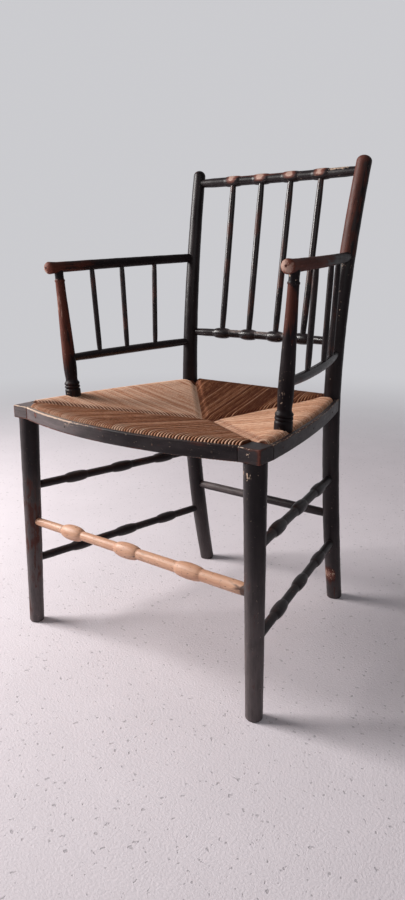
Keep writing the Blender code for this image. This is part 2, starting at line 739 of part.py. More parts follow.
class RushSeat:
    """The woven seat as one solid: lines of strands that wrap the rails, panel by panel.

    Each strand line starts on a seam between two panels, runs out over its rail, down its
    outer wall and back below to the same seam. Neighbouring lines are joined by faces.
    """

    def __init__(self):
        inset = STRIP_THICKNESS + FIT_GAP
        self.back_y = POST_SEAT_Y + RAIL_WIDTH / 2 + FIT_GAP + RUSH_WALL
        self.inset = inset
        self.middle_y = FRONT_FOOT_Y + RUSH_MIDDLE_Y
        self.front_corner = self.meeting_of_edges()
        self.back_corner = Vector((self.side_edge(self.back_y), self.back_y))
        self.apex = Vector((RUSH_MIDDLE_RIDGE / 2, self.middle_y))
        self.shape = bmesh.new()

    def front_edge(self, x):
        return front_face_y(x) + self.inset

    def side_edge(self, y):
        return side_face_x(y) - self.inset

    def meeting_of_edges(self):
        """Where the front and side edges cross, found by stepping from one to the other."""
        corner = Vector((BLOCK_FACE_X, FRONT_FACE_Y))
        for _ in range(12):
            corner = Vector((self.side_edge(corner.y), self.front_edge(corner.x)))
        return corner

    def seam_levels(self, share):
        """Top and underside heights on a seam, from a corner (0) to the middle (1)."""
        top = SEAT_HEIGHT + blend(RUSH_CREST, RUSH_VALLEY, share)
        under = RAIL_Z - RAIL_HEIGHT / 2 - RUSH_UNDER_RAIL
        return top, blend(under, SEAT_HEIGHT + RUSH_BELLY, share)

    def line(self, seam, edge, levels, raised):
        """The vertices of one strand line between its seam point and its rail's outer edge."""
        relief = RUSH_STRAND_RELIEF if raised else 0.0
        wall_in = 0.0 if raised else RUSH_STRAND_RELIEF / 2
        length = (seam - edge).length
        inwards = (seam - edge).normalized() if length > 0.0001 else Vector((0.0, 0.0))
        crest = SEAT_HEIGHT + RUSH_CREST
        under = RAIL_Z - RAIL_HEIGHT / 2 - RUSH_UNDER_RAIL
        top_seam, under_seam = levels
        stations = [
            (length, top_seam + relief),
            (RUSH_CREST_REACH, crest - 0.0012 + relief),
            (RUSH_CREST_TOP, crest + relief),
            (RUSH_SHOULDER, crest - 0.0022 + relief),
            (wall_in, crest - 0.0065),
            (wall_in, under + 0.0055),
            (RUSH_SHOULDER + 0.001, under - relief / 2),
            (RUSH_CREST_REACH, under - relief / 2),
            (length, under_seam - relief / 2),
        ]
        vertices = []
        for index, (distance, level) in enumerate(stations):
            if distance >= length:
                distance = length
                if index < 4:
                    level = top_seam + relief
                elif index > 5:
                    level = under_seam - relief / 2
            place = edge + inwards * distance
            vertices.append(self.shape.verts.new((place.x, place.y, level)))
        return vertices

    def join(self, lines):
        """Faces between neighbouring strand lines."""
        for left, right in zip(lines, lines[1:]):
            for index in range(len(left) - 1):
                self.shape.faces.new(
                    (left[index], left[index + 1], right[index + 1], right[index])
                )

    def seam_points(self, corner, sign, strands):
        """Points on a seam from its corner to the middle: place, levels, raised or not."""
        corner = Vector((sign * corner.x, corner.y))
        apex = Vector((sign * self.apex.x, self.apex.y))
        points = []
        for step in range(2 * strands + 1):
            share = step / (2 * strands)
            levels = self.seam_levels(share)
            points.append((corner.lerp(apex, share), levels, step % 2 == 1))
        return points

    def ridge_points(self):
        """Points between the two ends of the middle ridge."""
        points = []
        steps = 2 * RUSH_MIDDLE_STRAND_COUNT
        for step in range(1, steps):
            x = blend(-self.apex.x, self.apex.x, step / steps)
            place = Vector((x, self.middle_y))
            points.append((place, self.seam_levels(1.0), step % 2 == 1))
        return points

    def build(self):
        front, back = {}, {}
        for sign in SIDE_SIGNS.values():
            front[sign] = self.seam_points(self.front_corner, sign, RUSH_FRONT_STRAND_COUNT)
            back[sign] = self.seam_points(self.back_corner, sign, RUSH_BACK_STRAND_COUNT)
        ridge = self.ridge_points()
        across = front[-1] + ridge + front[1][::-1]
        self.join([self.line(p, Vector((p.x, self.front_edge(p.x))), levels, raised)
                   for p, levels, raised in across])
        across = back[-1] + ridge + back[1][::-1]
        self.join([self.line(p, Vector((p.x, self.back_y)), levels, raised)
                   for p, levels, raised in across])
        for sign in SIDE_SIGNS.values():
            along = front[sign] + back[sign][-2::-1]
            self.join([self.line(p, Vector((sign * self.side_edge(p.y), p.y)), levels, raised)
                       for p, levels, raised in along])
        bmesh.ops.remove_doubles(self.shape, verts=self.shape.verts, dist=0.00001)
        bmesh.ops.dissolve_degenerate(self.shape, edges=self.shape.edges, dist=0.00001)
        bmesh.ops.recalc_face_normals(self.shape, faces=self.shape.faces)
        mesh = bpy.data.meshes.new("rush_seat")
        self.shape.to_mesh(mesh)
        self.shape.free()
        mesh.shade_smooth()
        mesh.set_sharp_from_angle(angle=math.radians(50))
        return bpy.data.objects.new("rush_seat", mesh)


def make_rush(shop, post_twins):
    """The rush seat, cleared for the blocks and the posts at its corners."""
    shop.keep(RushSeat().build(), "rush")
    gap = Vector((FIT_GAP, FIT_GAP, FIT_GAP))
    for side, sign in SIDE_SIGNS.items():
        low = Vector((sign * BLOCK_X - BLOCK_SIDE / 2, FRONT_FACE_Y, BLOCK_BOTTOM - 0.02))
        high = Vector((sign * BLOCK_X + BLOCK_SIDE / 2, BLOCK_BACK_Y, SEAT_HEIGHT + 0.02))
        block = box_object("block_clearance_" + side, low - gap, high + gap)
        beyond = (POST_SEAT_X + POST_SEAT_RADIUS / 4, POST_SEAT_X + 0.05)
        corner_x = sorted(sign * x for x in beyond)
        corner = box_object(
            "back_corner_clearance_" + side,
            (corner_x[0], POST_SEAT_Y + POST_SEAT_RADIUS / 3, RAIL_Z - 0.04),
            (corner_x[1], POST_SEAT_Y + 0.05, RAIL_Z + 0.04),
        )
        for cutter in (block, corner):
            shop.cut(("rush_seat",), shop.keep_cutter(cutter))
        shop.cut(("rush_seat",), post_twins[side])


def make_arms(shop):
    for side, sign in SIDE_SIGNS.items():
        length = arm_length(sign)
        keep = post_radius(sign, ARM_POST_Z) - ARM_TENON
        stop = length - keep
        distances = [ARM_END_DOME * share for share in (0.03, 0.2, 0.5, 0.8, 1.0)]
        distances += [blend(ARM_NECK_AT, stop, step / (ARM_RING_COUNT - 1))
                      for step in range(ARM_RING_COUNT)]
        path = [arm_point(sign, distance / length) for distance in distances]
        radii = [arm_radius(distance, length) for distance in distances]
        shop.bar("arm_" + side, path, radii, "worn_brown_paint",
                 enters=("back_post_" + side,), sides=THICK_SIDE_COUNT)


def support_profile(length):
    """The turned outline of an arm support, from its tenon below to its tenon above."""
    collar = SUPPORT_COLLAR_HEIGHT
    pitch, groove = SUPPORT_RING_PITCH, SUPPORT_RING_GROOVE
    ring, dip = SUPPORT_RING_RADIUS, SUPPORT_RING_RADIUS - SUPPORT_RING_GROOVE
    foot_neck = collar + 2 * pitch + groove * 2
    ring_low = length - SUPPORT_TOP_RING_BELOW_ARM - SUPPORT_TOP_RING_HEIGHT
    return [
        (-SUPPORT_TENON_LENGTH, SUPPORT_TENON_RADIUS),
        (0.0, SUPPORT_TENON_RADIUS),
        (0.0, SUPPORT_COLLAR_RADIUS),
        (collar - groove, SUPPORT_COLLAR_RADIUS),
        (collar, dip),
        (collar + groove, ring),
        (collar + pitch - groove / 2, ring),
        (collar + pitch, dip),
        (collar + pitch + groove / 2, ring),
        (collar + 2 * pitch - groove / 2, ring),
        (foot_neck, SUPPORT_FOOT_NECK),
        ((foot_neck + SUPPORT_BELLY_AT) / 2, SUPPORT_BELLY_RADIUS * 0.97),
        (SUPPORT_BELLY_AT, SUPPORT_BELLY_RADIUS),
        (blend(SUPPORT_BELLY_AT, ring_low, 0.45), SUPPORT_BELLY_RADIUS * 0.87),
        (length - SUPPORT_THROAT_BELOW_ARM, SUPPORT_THROAT_RADIUS),
        (ring_low, SUPPORT_THROAT_RADIUS),
        (ring_low + SUPPORT_TOP_RING_HEIGHT * 0.3, SUPPORT_TOP_RING_RADIUS),
        (ring_low + SUPPORT_TOP_RING_HEIGHT * 0.7, SUPPORT_TOP_RING_RADIUS),
        (ring_low + SUPPORT_TOP_RING_HEIGHT, SUPPORT_NECK_RADIUS),
        (length + SUPPORT_TOP_TENON, SUPPORT_NECK_RADIUS),
    ]


def make_arm_supports(shop):
    for side, sign in SIDE_SIGNS.items():
        base, top = support_base(sign), support_top(sign)
        enters = ("arm_" + side, "rush_seat", "side_seat_rail_" + side)
        shop.turned("arm_support_" + side, base, top, support_profile((top - base).length),
                    "worn_brown_paint", enters=enters, sides=THICK_SIDE_COUNT - 2)


def make_lower_arm_rails(shop):
    for side, sign in SIDE_SIGNS.items():
        span = (lower_rail_point(sign, 1.0) - lower_rail_point(sign, 0.0)).length
        start = (SUPPORT_BELLY_RADIUS - LOWER_RAIL_TENON) / span
        stop = 1 - (post_radius(sign, LOWER_RAIL_POST_Z) - LOWER_RAIL_TENON) / span
        shares = [blend(start, stop, step / (LOWER_RAIL_RING_COUNT - 1))
                  for step in range(LOWER_RAIL_RING_COUNT)]
        path = [lower_rail_point(sign, share) for share in shares]
        radii = [LOWER_RAIL_RADIUS] * len(path)
        radii[0] = radii[-1] = LOWER_RAIL_TENON_RADIUS
        shop.bar("arm_lower_rail_" + side, path, radii, "black_paint",
                 enters=("arm_support_" + side, "back_post_" + side))


def make_arm_spindles(shop):
    for side, sign in SIDE_SIGNS.items():
        length = arm_length(sign)
        span = (lower_rail_point(sign, 1.0) - lower_rail_point(sign, 0.0)).length
        places = zip(ARM_SPINDLES_BELOW[side], ARM_SPINDLES_ABOVE[side])
        for number, (below, above) in enumerate(places, start=1):
            bottom, top = shortened(
                lower_rail_point(sign, below / span),
                arm_point(sign, above / length),
                LOWER_RAIL_RADIUS - ARM_SPINDLE_SOCKET_BELOW,
                arm_radius(above, length) - ARM_SPINDLE_SOCKET,
            )
            profile = rod_profile((top - bottom).length, ARM_SPINDLE_RADIUS, ARM_SPINDLE_END_RADIUS)
            shop.turned(f"arm_spindle_{side}_{number}", bottom, top, profile, "black_paint",
                        enters=("arm_lower_rail_" + side, "arm_" + side))


def beaded_rail(shop, name, z, bow, rod, bead, bead_length, pitch, tenon_radius, tenon):
    """A rail between the back posts with a bead for each spindle."""
    end = post_point(1, z).x
    reach = end - post_radius(1, z) + tenon
    stations = [(-reach, tenon_radius), (-reach + 2 * tenon, rod)]
    for index in range(BACK_SPINDLE_COUNT):
        centre = (index - (BACK_SPINDLE_COUNT - 1) / 2) * pitch
        stations += bead_stations(centre, bead_length / 2, rod, bead)
    stations += [(reach - 2 * tenon, rod), (reach, tenon_radius)]
    path = [back_rail_point(z, bow, x) for x, _ in stations]
    radii = [radius for _, radius in stations]
    shop.bar(name, path, radii, "black_paint", enters=("back_post_left", "back_post_right"),
             sides=THIN_SIDE_COUNT + 2)


def make_back(shop):
    """The crest rail, the lower back rail and the spindles between their beads."""
    beaded_rail(shop, "crest_rail", CREST_Z, CREST_BOW, CREST_RADIUS, CREST_BEAD_RADIUS,
                CREST_BEAD_LENGTH, CREST_SPINDLE_PITCH, CREST_TENON_RADIUS, CREST_TENON)
    beaded_rail(shop, "lower_back_rail", LOWER_BACK_Z, LOWER_BACK_BOW, LOWER_BACK_RADIUS,
                LOWER_BACK_BEAD_RADIUS, LOWER_BACK_BEAD_LENGTH, LOWER_SPINDLE_PITCH,
                LOWER_BACK_TENON_RADIUS, LOWER_BACK_TENON)
    for index in range(BACK_SPINDLE_COUNT):
        place = index - (BACK_SPINDLE_COUNT - 1) / 2
        bottom, top = shortened(
            back_rail_point(LOWER_BACK_Z, LOWER_BACK_BOW, place * LOWER_SPINDLE_PITCH),
            back_rail_point(CREST_Z, CREST_BOW, place * CREST_SPINDLE_PITCH),
            LOWER_BACK_BEAD_RADIUS - BACK_SPINDLE_SOCKET,
            CREST_BEAD_RADIUS - BACK_SPINDLE_SOCKET,
        )
        profile = rod_profile((top - bottom).length, BACK_SPINDLE_RADIUS, BACK_SPINDLE_END_RADIUS)
        shop.turned(f"back_spindle_{index + 1}", bottom, top, profile, "black_paint",
                    enters=("lower_back_rail", "crest_rail"))


def beaded_stretcher(shop, name, ends, keeps, rods, tenon, beads, bead_length, pitch, shift,
                     finish, enters, sides):
    """A turned stretcher with three long beads about its middle.

    rods holds the rod's radius at both ends and beads the radius of each bead.
    """
    start, stop = shortened(ends[0], ends[1], keeps[0], keeps[1])
    length = (stop - start).length
    middle = (ends[1] - ends[0]).length / 2 - keeps[0] + shift
    profile = [(0.0, tenon), (STRETCHER_SOCKET * 2, rods[0])]
    for index, bead in enumerate(beads, start=-1):
        centre = middle + index * pitch
        rod = blend(rods[0], rods[1], centre / length)
        profile += bead_stations(centre, bead_length / 2, rod, bead)
    profile += [(length - STRETCHER_SOCKET * 2, rods[1]), (length, tenon)]
    shop.turned(name, start, stop, profile, finish, enters=enters, sides=sides)


def make_stretchers(shop):
    z = FRONT_STRETCHER_Z
    keep = leg_radius(z) - STRETCHER_SOCKET
    beaded_stretcher(
        shop, "front_stretcher", (leg_point(-1, z), leg_point(1, z)), (keep, keep),
        FRONT_STRETCHER_RADII, FRONT_STRETCHER_TENON_RADIUS, FRONT_BEAD_RADII,
        FRONT_BEAD_LENGTH, FRONT_BEAD_PITCH, FRONT_BEAD_SHIFT, "bare_wood",
        ("front_leg_left", "front_leg_right"), THICK_SIDE_COUNT - 2,
    )
    heights = {
        "upper": (UPPER_STRETCHER_FRONT_Z, UPPER_STRETCHER_BACK_Z),
        "lower": (LOWER_STRETCHER_FRONT_Z, LOWER_STRETCHER_BACK_Z),
    }
    rods, beads = (SIDE_STRETCHER_RADIUS,) * 2, (SIDE_BEAD_RADIUS,) * 3
    for level, (front_z, back_z) in heights.items():
        for side, sign in SIDE_SIGNS.items():
            keeps = (leg_radius(front_z) - STRETCHER_SOCKET,
                     post_radius(sign, back_z) - STRETCHER_SOCKET)
            beaded_stretcher(
                shop, f"side_stretcher_{level}_{side}",
                (leg_point(sign, front_z), post_point(sign, back_z)), keeps,
                rods, SIDE_STRETCHER_TENON_RADIUS, beads,
                SIDE_BEAD_LENGTH, SIDE_BEAD_PITCH, SIDE_BEAD_SHIFT, "black_paint",
                ("front_leg_" + side, "back_post_" + side), THIN_SIDE_COUNT,
            )
    z = BACK_STRETCHER_Z
    keep = post_radius(1, z) - STRETCHER_SOCKET
    start, stop = shortened(post_point(-1, z), post_point(1, z), keep, keep)
    profile = rod_profile((stop - start).length, BACK_STRETCHER_RADIUS, SIDE_STRETCHER_TENON_RADIUS)
    shop.turned("back_stretcher", start, stop, profile, "black_paint",
                enters=("back_post_left", "back_post_right"))


def make_nails(shop):
    """Small nails through each strip and the rush into the rail behind."""
    profile = [
        (-NAIL_HEAD_HEIGHT - FIT_GAP, NAIL_HEAD_RADIUS * 0.7),
        (-NAIL_HEAD_HEIGHT / 2 - FIT_GAP, NAIL_HEAD_RADIUS),
        (-FIT_GAP, NAIL_HEAD_RADIUS),
        (-FIT_GAP, NAIL_RADIUS),
        (NAIL_LENGTH, NAIL_RADIUS),
    ]
    for index in range(FRONT_NAIL_COUNT):
        x = (index - (FRONT_NAIL_COUNT - 1) / 2) * FRONT_NAIL_PITCH
        slope = 2 * FRONT_BOW * x / BLOCK_INNER_X ** 2
        inwards = Vector((-slope, 1.0, 0.0)).normalized()
        start = Vector((x, front_face_y(x), RAIL_Z))
        shop.turned(f"strip_nail_front_{index + 1}", start, start + inwards, profile, "iron",
                    enters=("edge_strip_front", "rush_seat", "front_seat_rail"),
                    sides=NAIL_SIDE_COUNT)
    for side, sign in SIDE_SIGNS.items():
        for number, behind in enumerate(SIDE_NAILS_BEHIND_FEET, start=1):
            y = FRONT_FOOT_Y + behind
            lean = side_face_x(y + 0.01) - side_face_x(y - 0.01)
            inwards = Vector((-sign, lean / 0.02, 0.0)).normalized()
            start = Vector((sign * side_face_x(y), y, RAIL_Z))
            shop.turned(f"strip_nail_{side}_{number}", start, start + inwards, profile, "iron",
                        enters=("edge_strip_" + side, "rush_seat", "side_seat_rail_" + side),
                        sides=NAIL_SIDE_COUNT)


def build_chair():
    clear_scene()
    shop = Workshop()
    make_front_legs(shop)
    post_twins = make_back_posts(shop)
    cut_feet_flat(shop)
    make_strips(shop, post_twins)
    make_rush(shop, post_twins)
    make_seat_rails(shop)
    make_arms(shop)
    make_arm_supports(shop)
    make_lower_arm_rails(shop)
    make_arm_spindles(shop)
    make_back(shop)
    make_stretchers(shop)
    make_nails(shop)


build_chair()
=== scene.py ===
"""Dresses the old armchair: turned members in worn black paint, and a seat of twisted rush strands."""
import logging
import math
from dataclasses import dataclass, field
from enum import Enum
from typing import Callable, Sequence

import bmesh
import bpy
from mathutils import Matrix, Vector, noise


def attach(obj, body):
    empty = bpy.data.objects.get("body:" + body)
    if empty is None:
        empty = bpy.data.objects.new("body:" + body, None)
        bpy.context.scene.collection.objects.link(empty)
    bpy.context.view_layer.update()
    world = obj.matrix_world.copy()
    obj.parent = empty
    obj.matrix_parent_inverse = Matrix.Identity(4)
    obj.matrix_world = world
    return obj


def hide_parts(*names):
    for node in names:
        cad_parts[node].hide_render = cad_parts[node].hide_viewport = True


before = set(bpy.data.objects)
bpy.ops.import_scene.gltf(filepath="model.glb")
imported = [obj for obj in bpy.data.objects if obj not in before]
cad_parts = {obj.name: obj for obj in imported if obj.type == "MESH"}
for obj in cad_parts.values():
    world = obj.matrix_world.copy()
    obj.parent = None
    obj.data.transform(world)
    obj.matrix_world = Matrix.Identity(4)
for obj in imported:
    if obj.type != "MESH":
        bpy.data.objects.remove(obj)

LOG = logging.getLogger("peeling_paint_chair")
BODY = "root"
Colour = tuple[float, float, float]
Marks = tuple[float, float, float]
MarkRule = Callable[[Vector, Vector, float], Marks]
# Level directions out from the chair: to the large lamp's side, and to the camera's side
WINDOW_SIDE = Vector((-0.794, -0.607, 0.0))
OPEN_SIDE = Vector((0.607, -0.794, 0.0))
# How much of the backdrop's glow a glossy ray loses, behind the chair and on the camera's side
SHINE_LOSS = (0.45, 0.85)
# One turn of a strand's twist, in metres
TURN_LENGTH = 0.030


class Side(Enum):
    """Left and right as a viewer who faces the chair's front sees them, as signs of X."""

    LEFT = -1
    RIGHT = 1

    @property
    def word(self) -> str:
        """The side's name as the solids spell it."""
        return self.name.lower()


class Slot(Enum):
    """The record's material slots."""

    PAINT = "black_paint"
    BROWN = "worn_brown_paint"
    BARE = "bare_wood"
    HIDDEN = "hidden_wood"
    RUSH = "rush"
    IRON = "iron"


def blend(low: float, high: float, share: float) -> float:
    """The value a share of the way from low to high."""
    return low + (high - low) * share


def soft_step(low: float, high: float, value: float) -> float:
    """0 below low, 1 above high, and a smooth rise between; falls instead if low is above high."""
    share = min(max((value - low) / (high - low), 0.0), 1.0)
    return share * share * (3 - 2 * share)


def bump_at(middle: float, reach: float, value: float) -> float:
    """1 at the middle, falling smoothly to 0 at a reach either side of it."""
    return soft_step(reach, 0.0, abs(value - middle))


def interpolate(knots: Sequence[tuple[float, float]], place: float) -> float:
    """The value at a place on straight lines between (place, value) knots.

    Args:
        knots: Pairs in rising order of place.
        place: Where to read the value.

    Returns:
        The value there, held constant beyond both ends.
    """
    if place <= knots[0][0]:
        return knots[0][1]
    for (low, low_value), (high, high_value) in zip(knots, knots[1:]):
        if place <= high:
            return blend(low_value, high_value, (place - low) / max(high - low, 1e-9))
    return knots[-1][1]


@dataclass(frozen=True)
class Layout:
    """Where the chair's members run, in metres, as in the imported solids."""

    foot_y: float = -0.20335
    seat_z: float = 0.430
    top_z: float = 0.856
    foot_x: float = 0.254
    block_face_x: float = 0.263
    block_side: float = 0.037
    block_height: float = 0.0225
    block_ahead: float = 0.0109
    post_x: tuple[float, float, float] = (0.1664, 0.1691, 0.1835)
    post_y: tuple[float, float, float] = (0.23565, 0.18015, 0.23785)
    bend_power: float = 1.75
    front_bow: float = 0.0363
    side_bow: float = 0.010
    strip_back_outset: float = 0.0145
    arm_tip: tuple[float, float, float] = (0.2478, -0.13275, 0.6706)
    left_arm_drop: float = 0.004
    arm_post_z: float = 0.6842
    arm_bow: float = 0.0126

    @property
    def face_y(self) -> float:
        """The blocks' front faces."""
        return self.foot_y - self.block_ahead

    @property
    def block_inner_x(self) -> float:
        """The blocks' inner faces."""
        return self.block_face_x - self.block_side

    @property
    def block_back_y(self) -> float:
        """The blocks' back faces."""
        return self.face_y + self.block_side

    def block_middle(self, side: Side) -> Vector:
        """The middle of a corner block."""
        half = self.block_side / 2
        return Vector((side.value * (self.block_face_x - half), self.face_y + half,
                       self.seat_z - self.block_height / 2))

    def leg(self, side: Side, z: float) -> Vector:
        """The axis of a front leg at a height."""
        share = z / (self.seat_z - self.block_height)
        x = blend(self.foot_x, self.block_face_x - self.block_side / 2, share)
        return Vector((side.value * x, blend(self.foot_y, self.face_y + self.block_side / 2, share), z))

    def post(self, side: Side, z: float) -> Vector:
        """The axis of a bent back post at a height."""
        if z < self.seat_z:
            share = ((self.seat_z - z) / self.seat_z) ** self.bend_power
            end = 0
        else:
            share = ((z - self.seat_z) / (self.top_z - self.seat_z)) ** self.bend_power
            end = 2
        x = blend(self.post_x[1], self.post_x[end], share)
        return Vector((side.value * x, blend(self.post_y[1], self.post_y[end], share), z))

    def front_face(self, x: float) -> float:
        """The Y of the front strip's outer face."""
        return self.face_y - self.front_bow * (1 - (x / self.block_inner_x) ** 2)

    def side_face(self, y: float) -> float:
        """The X of a side strip's outer face, on the right."""
        share = (y - self.block_back_y) / (self.post_y[1] - self.block_back_y)
        end = self.post_x[1] + self.strip_back_outset
        return blend(self.block_face_x, end, share) + self.side_bow * 4 * share * (1 - share)

    def arm(self, side: Side, share: float) -> Vector:
        """The axis of an arm, from its tip to its post."""
        drop = self.left_arm_drop if side is Side.LEFT else 0.0
        tip = Vector((side.value * self.arm_tip[0], self.arm_tip[1], self.arm_tip[2] - drop))
        place = tip.lerp(self.post(side, self.arm_post_z), share)
        place.x += side.value * self.arm_bow * 4 * share * (1 - share)
        return place

    def back_rail(self, z: float, bow: float, x: float) -> Vector:
        """The axis of a rail between the posts, bowed backwards."""
        end = self.post(Side.RIGHT, z)
        return Vector((x, end.y + bow * (1 - (x / end.x) ** 2), z))


def settle(piece: bpy.types.Object, slot: Slot, *nodes: str) -> bpy.types.Object:
    """Rides a finished piece on the chair, in place of its solids.

    Args:
        piece: The piece, already in place.
        slot: The record's slot that its finish belongs to; not used.
        nodes: The solids that it stands for.

    Returns:
        The same piece.
    """
    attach(piece, BODY)
    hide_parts(*nodes)
    triangles = sum(len(face.vertices) - 2 for face in piece.data.polygons)
    LOG.info("%s: %d triangles", piece.name, triangles)
    return piece


def placed(name: str, data: bpy.types.ID, finish: bpy.types.Material | None = None,
           sharp_angle: float | None = None) -> bpy.types.Object:
    """Links a new object at the origin.

    Args:
        name: The object's name.
        data: Its mesh, curve, camera or lamp.
        finish: A material for a mesh.
        sharp_angle: Where given, a mesh is shaded smooth except at edges sharper than this, in degrees.

    Returns:
        The new object.
    """
    if sharp_angle is not None:
        data.shade_smooth()
        data.set_sharp_from_angle(angle=math.radians(sharp_angle))
    if finish is not None:
        data.materials.append(finish)
    piece = bpy.data.objects.new(name, data)
    bpy.context.scene.collection.objects.link(piece)
    return piece


class NodeTree:
    """A short way to lay out nodes in any kind of tree."""

    def __init__(self, tree: bpy.types.NodeTree) -> None:
        """Takes the tree to add to."""
        self.nodes = tree.nodes
        self.links = tree.links

    def put(self, socket: bpy.types.NodeSocket, value: object) -> None:
        """Feeds a socket from another socket, or sets its value."""
        if isinstance(value, bpy.types.NodeSocket):
            self.links.new(value, socket)
        elif value is not None:
            socket.default_value = value

    def math(self, operation: str, *values: object) -> bpy.types.NodeSocket:
        """One Math node."""
        node = self.nodes.new("ShaderNodeMath")
        node.operation = operation
        for socket, value in zip(node.inputs, values):
            self.put(socket, value)
        return node.outputs[0]

    def measure(self, operation: str, *vectors: object) -> bpy.types.NodeSocket:
        """A number from a Vector Math node, such as a length or a dot product."""
        node = self.nodes.new("ShaderNodeVectorMath")
        node.operation = operation
        for socket, vector in zip(node.inputs, vectors):
            self.put(socket, vector)
        return node.outputs["Value"]

    def ranged(self, value: object, low: float, high: float, to_low: object = 0.0,
               to_high: object = 1.0, smooth: bool = False) -> bpy.types.NodeSocket:
        """A value moved from one range to another, and held inside it."""
        node = self.nodes.new("ShaderNodeMapRange")
        node.interpolation_type = "SMOOTHSTEP" if smooth else "LINEAR"
        limits = {"Value": value, "From Min": low, "From Max": high, "To Min": to_low, "To Max": to_high}
        for name, number in limits.items():
            self.put(node.inputs[name], number)
        return node.outputs["Result"]

    def backdrop(self, kind: str, place: bpy.types.NodeSocket, behind: float,
                 ahead: float) -> tuple[bpy.types.NodeSocket, bpy.types.NodeSocket]:
        """The flat backdrop, dimmed for glossy rays.

        Args:
            kind: The node that glows.
            place: A place or direction, which says how much a glossy ray loses.
            behind: How far behind the chair the loss is least.
            ahead: The same on the camera's side, where it is most, as a negative number.

        Returns:
            1 for the rays that see the backdrop, and its shader.
        """
        path = self.nodes.new("ShaderNodeLightPath").outputs
        seen = self.math("MAXIMUM", path["Is Camera Ray"], path["Is Glossy Ray"])
        seen = self.math("MAXIMUM", seen, path["Is Transmission Ray"])
        away = self.measure("DOT_PRODUCT", place, -OPEN_SIDE)
        loss = self.ranged(away, behind, ahead, *SHINE_LOSS, smooth=True)
        loss = self.math("MULTIPLY", loss, path["Is Glossy Ray"])
        glow = self.nodes.new(kind)
        glow.inputs["Color"].default_value = (*PlainSurface.far_colour, 1.0)
        self.put(glow.inputs["Strength"], self.math("SUBTRACT", 1.0, loss))
        return seen, glow.outputs[0]

    def surface(self, output: bpy.types.Node, *parts: bpy.types.NodeSocket) -> None:
        """Ends the tree in a mix of a share and two shaders."""
        join = self.nodes.new("ShaderNodeMixShader")
        for socket, part in zip(join.inputs, parts):
            self.put(socket, part)
        self.put(output.inputs["Surface"], join.outputs[0])


class ShaderTree(NodeTree):
    """A short way to lay out a Principled material's nodes."""

    def __init__(self, name: str) -> None:
        """Starts a material with only its Principled shader."""
        self.material = bpy.data.materials.new(name)
        self.material.use_nodes = True
        super().__init__(self.material.node_tree)
        self.shader = self.nodes["Principled BSDF"]

    def finish(self, name: str, value: object) -> None:
        """Feeds one of the shader's own sockets."""
        if isinstance(value, tuple) and len(value) == 3 and "Color" in name:
            value = (*value, 1.0)
        self.put(self.shader.inputs[name], value)

    def attribute(self, name: str, output: str) -> bpy.types.NodeSocket:
        """Reads an attribute of the piece."""
        node = self.nodes.new("ShaderNodeAttribute")
        node.attribute_name = name
        return node.outputs[output]

    def separate(self, colour: bpy.types.NodeSocket) -> Sequence[bpy.types.NodeSocket]:
        """The three channels of a colour."""
        node = self.nodes.new("ShaderNodeSeparateColor")
        self.put(node.inputs[0], colour)
        return list(node.outputs)

    def scaled(self, vector: bpy.types.NodeSocket, scale: Colour,
               shift: Colour = (0.0, 0.0, 0.0)) -> bpy.types.NodeSocket:
        """A vector through a Mapping node."""
        node = self.nodes.new("ShaderNodeMapping")
        self.put(node.inputs["Vector"], vector)
        node.inputs["Scale"].default_value = scale
        node.inputs["Location"].default_value = shift
        return node.outputs[0]

    def noise(self, vector: bpy.types.NodeSocket, scale: float, detail: float = 3.0,
              roughness: float = 0.55, distortion: float = 0.0) -> bpy.types.NodeSocket:
        """A noise value, spread so that it about fills 0 to 1."""
        node = self.nodes.new("ShaderNodeTexNoise")
        self.put(node.inputs["Vector"], vector)
        node.inputs["Scale"].default_value = scale
        node.inputs["Detail"].default_value = detail
        node.inputs["Roughness"].default_value = roughness
        node.inputs["Distortion"].default_value = distortion
        return self.ranged(node.outputs["Fac"], 0.28, 0.72)

    def mix(self, factor: object, first: object, second: object,
            kind: str = "MIX") -> bpy.types.NodeSocket:
        """Two colours mixed by a factor."""
        node = self.nodes.new("ShaderNodeMix")
        node.data_type = "RGBA"
        node.blend_type = kind
        node.clamp_factor = True
        self.put(node.inputs["Factor"], factor)
        for name, value in (("A", first), ("B", second)):
            socket = next(item for item in node.inputs if item.name == name and item.type == "RGBA")
            self.put(socket, (*value, 1.0) if isinstance(value, tuple) else value)
        return next(item for item in node.outputs if item.type == "RGBA")

    def bump(self, height: object, strength: float, distance: float,
             normal: bpy.types.NodeSocket | None = None) -> bpy.types.NodeSocket:
        """A Bump node."""
        node = self.nodes.new("ShaderNodeBump")
        self.put(node.inputs["Height"], height)
        node.inputs["Strength"].default_value = strength
        node.inputs["Distance"].default_value = distance
        self.put(node.inputs["Normal"], normal)
        return node.outputs[0]


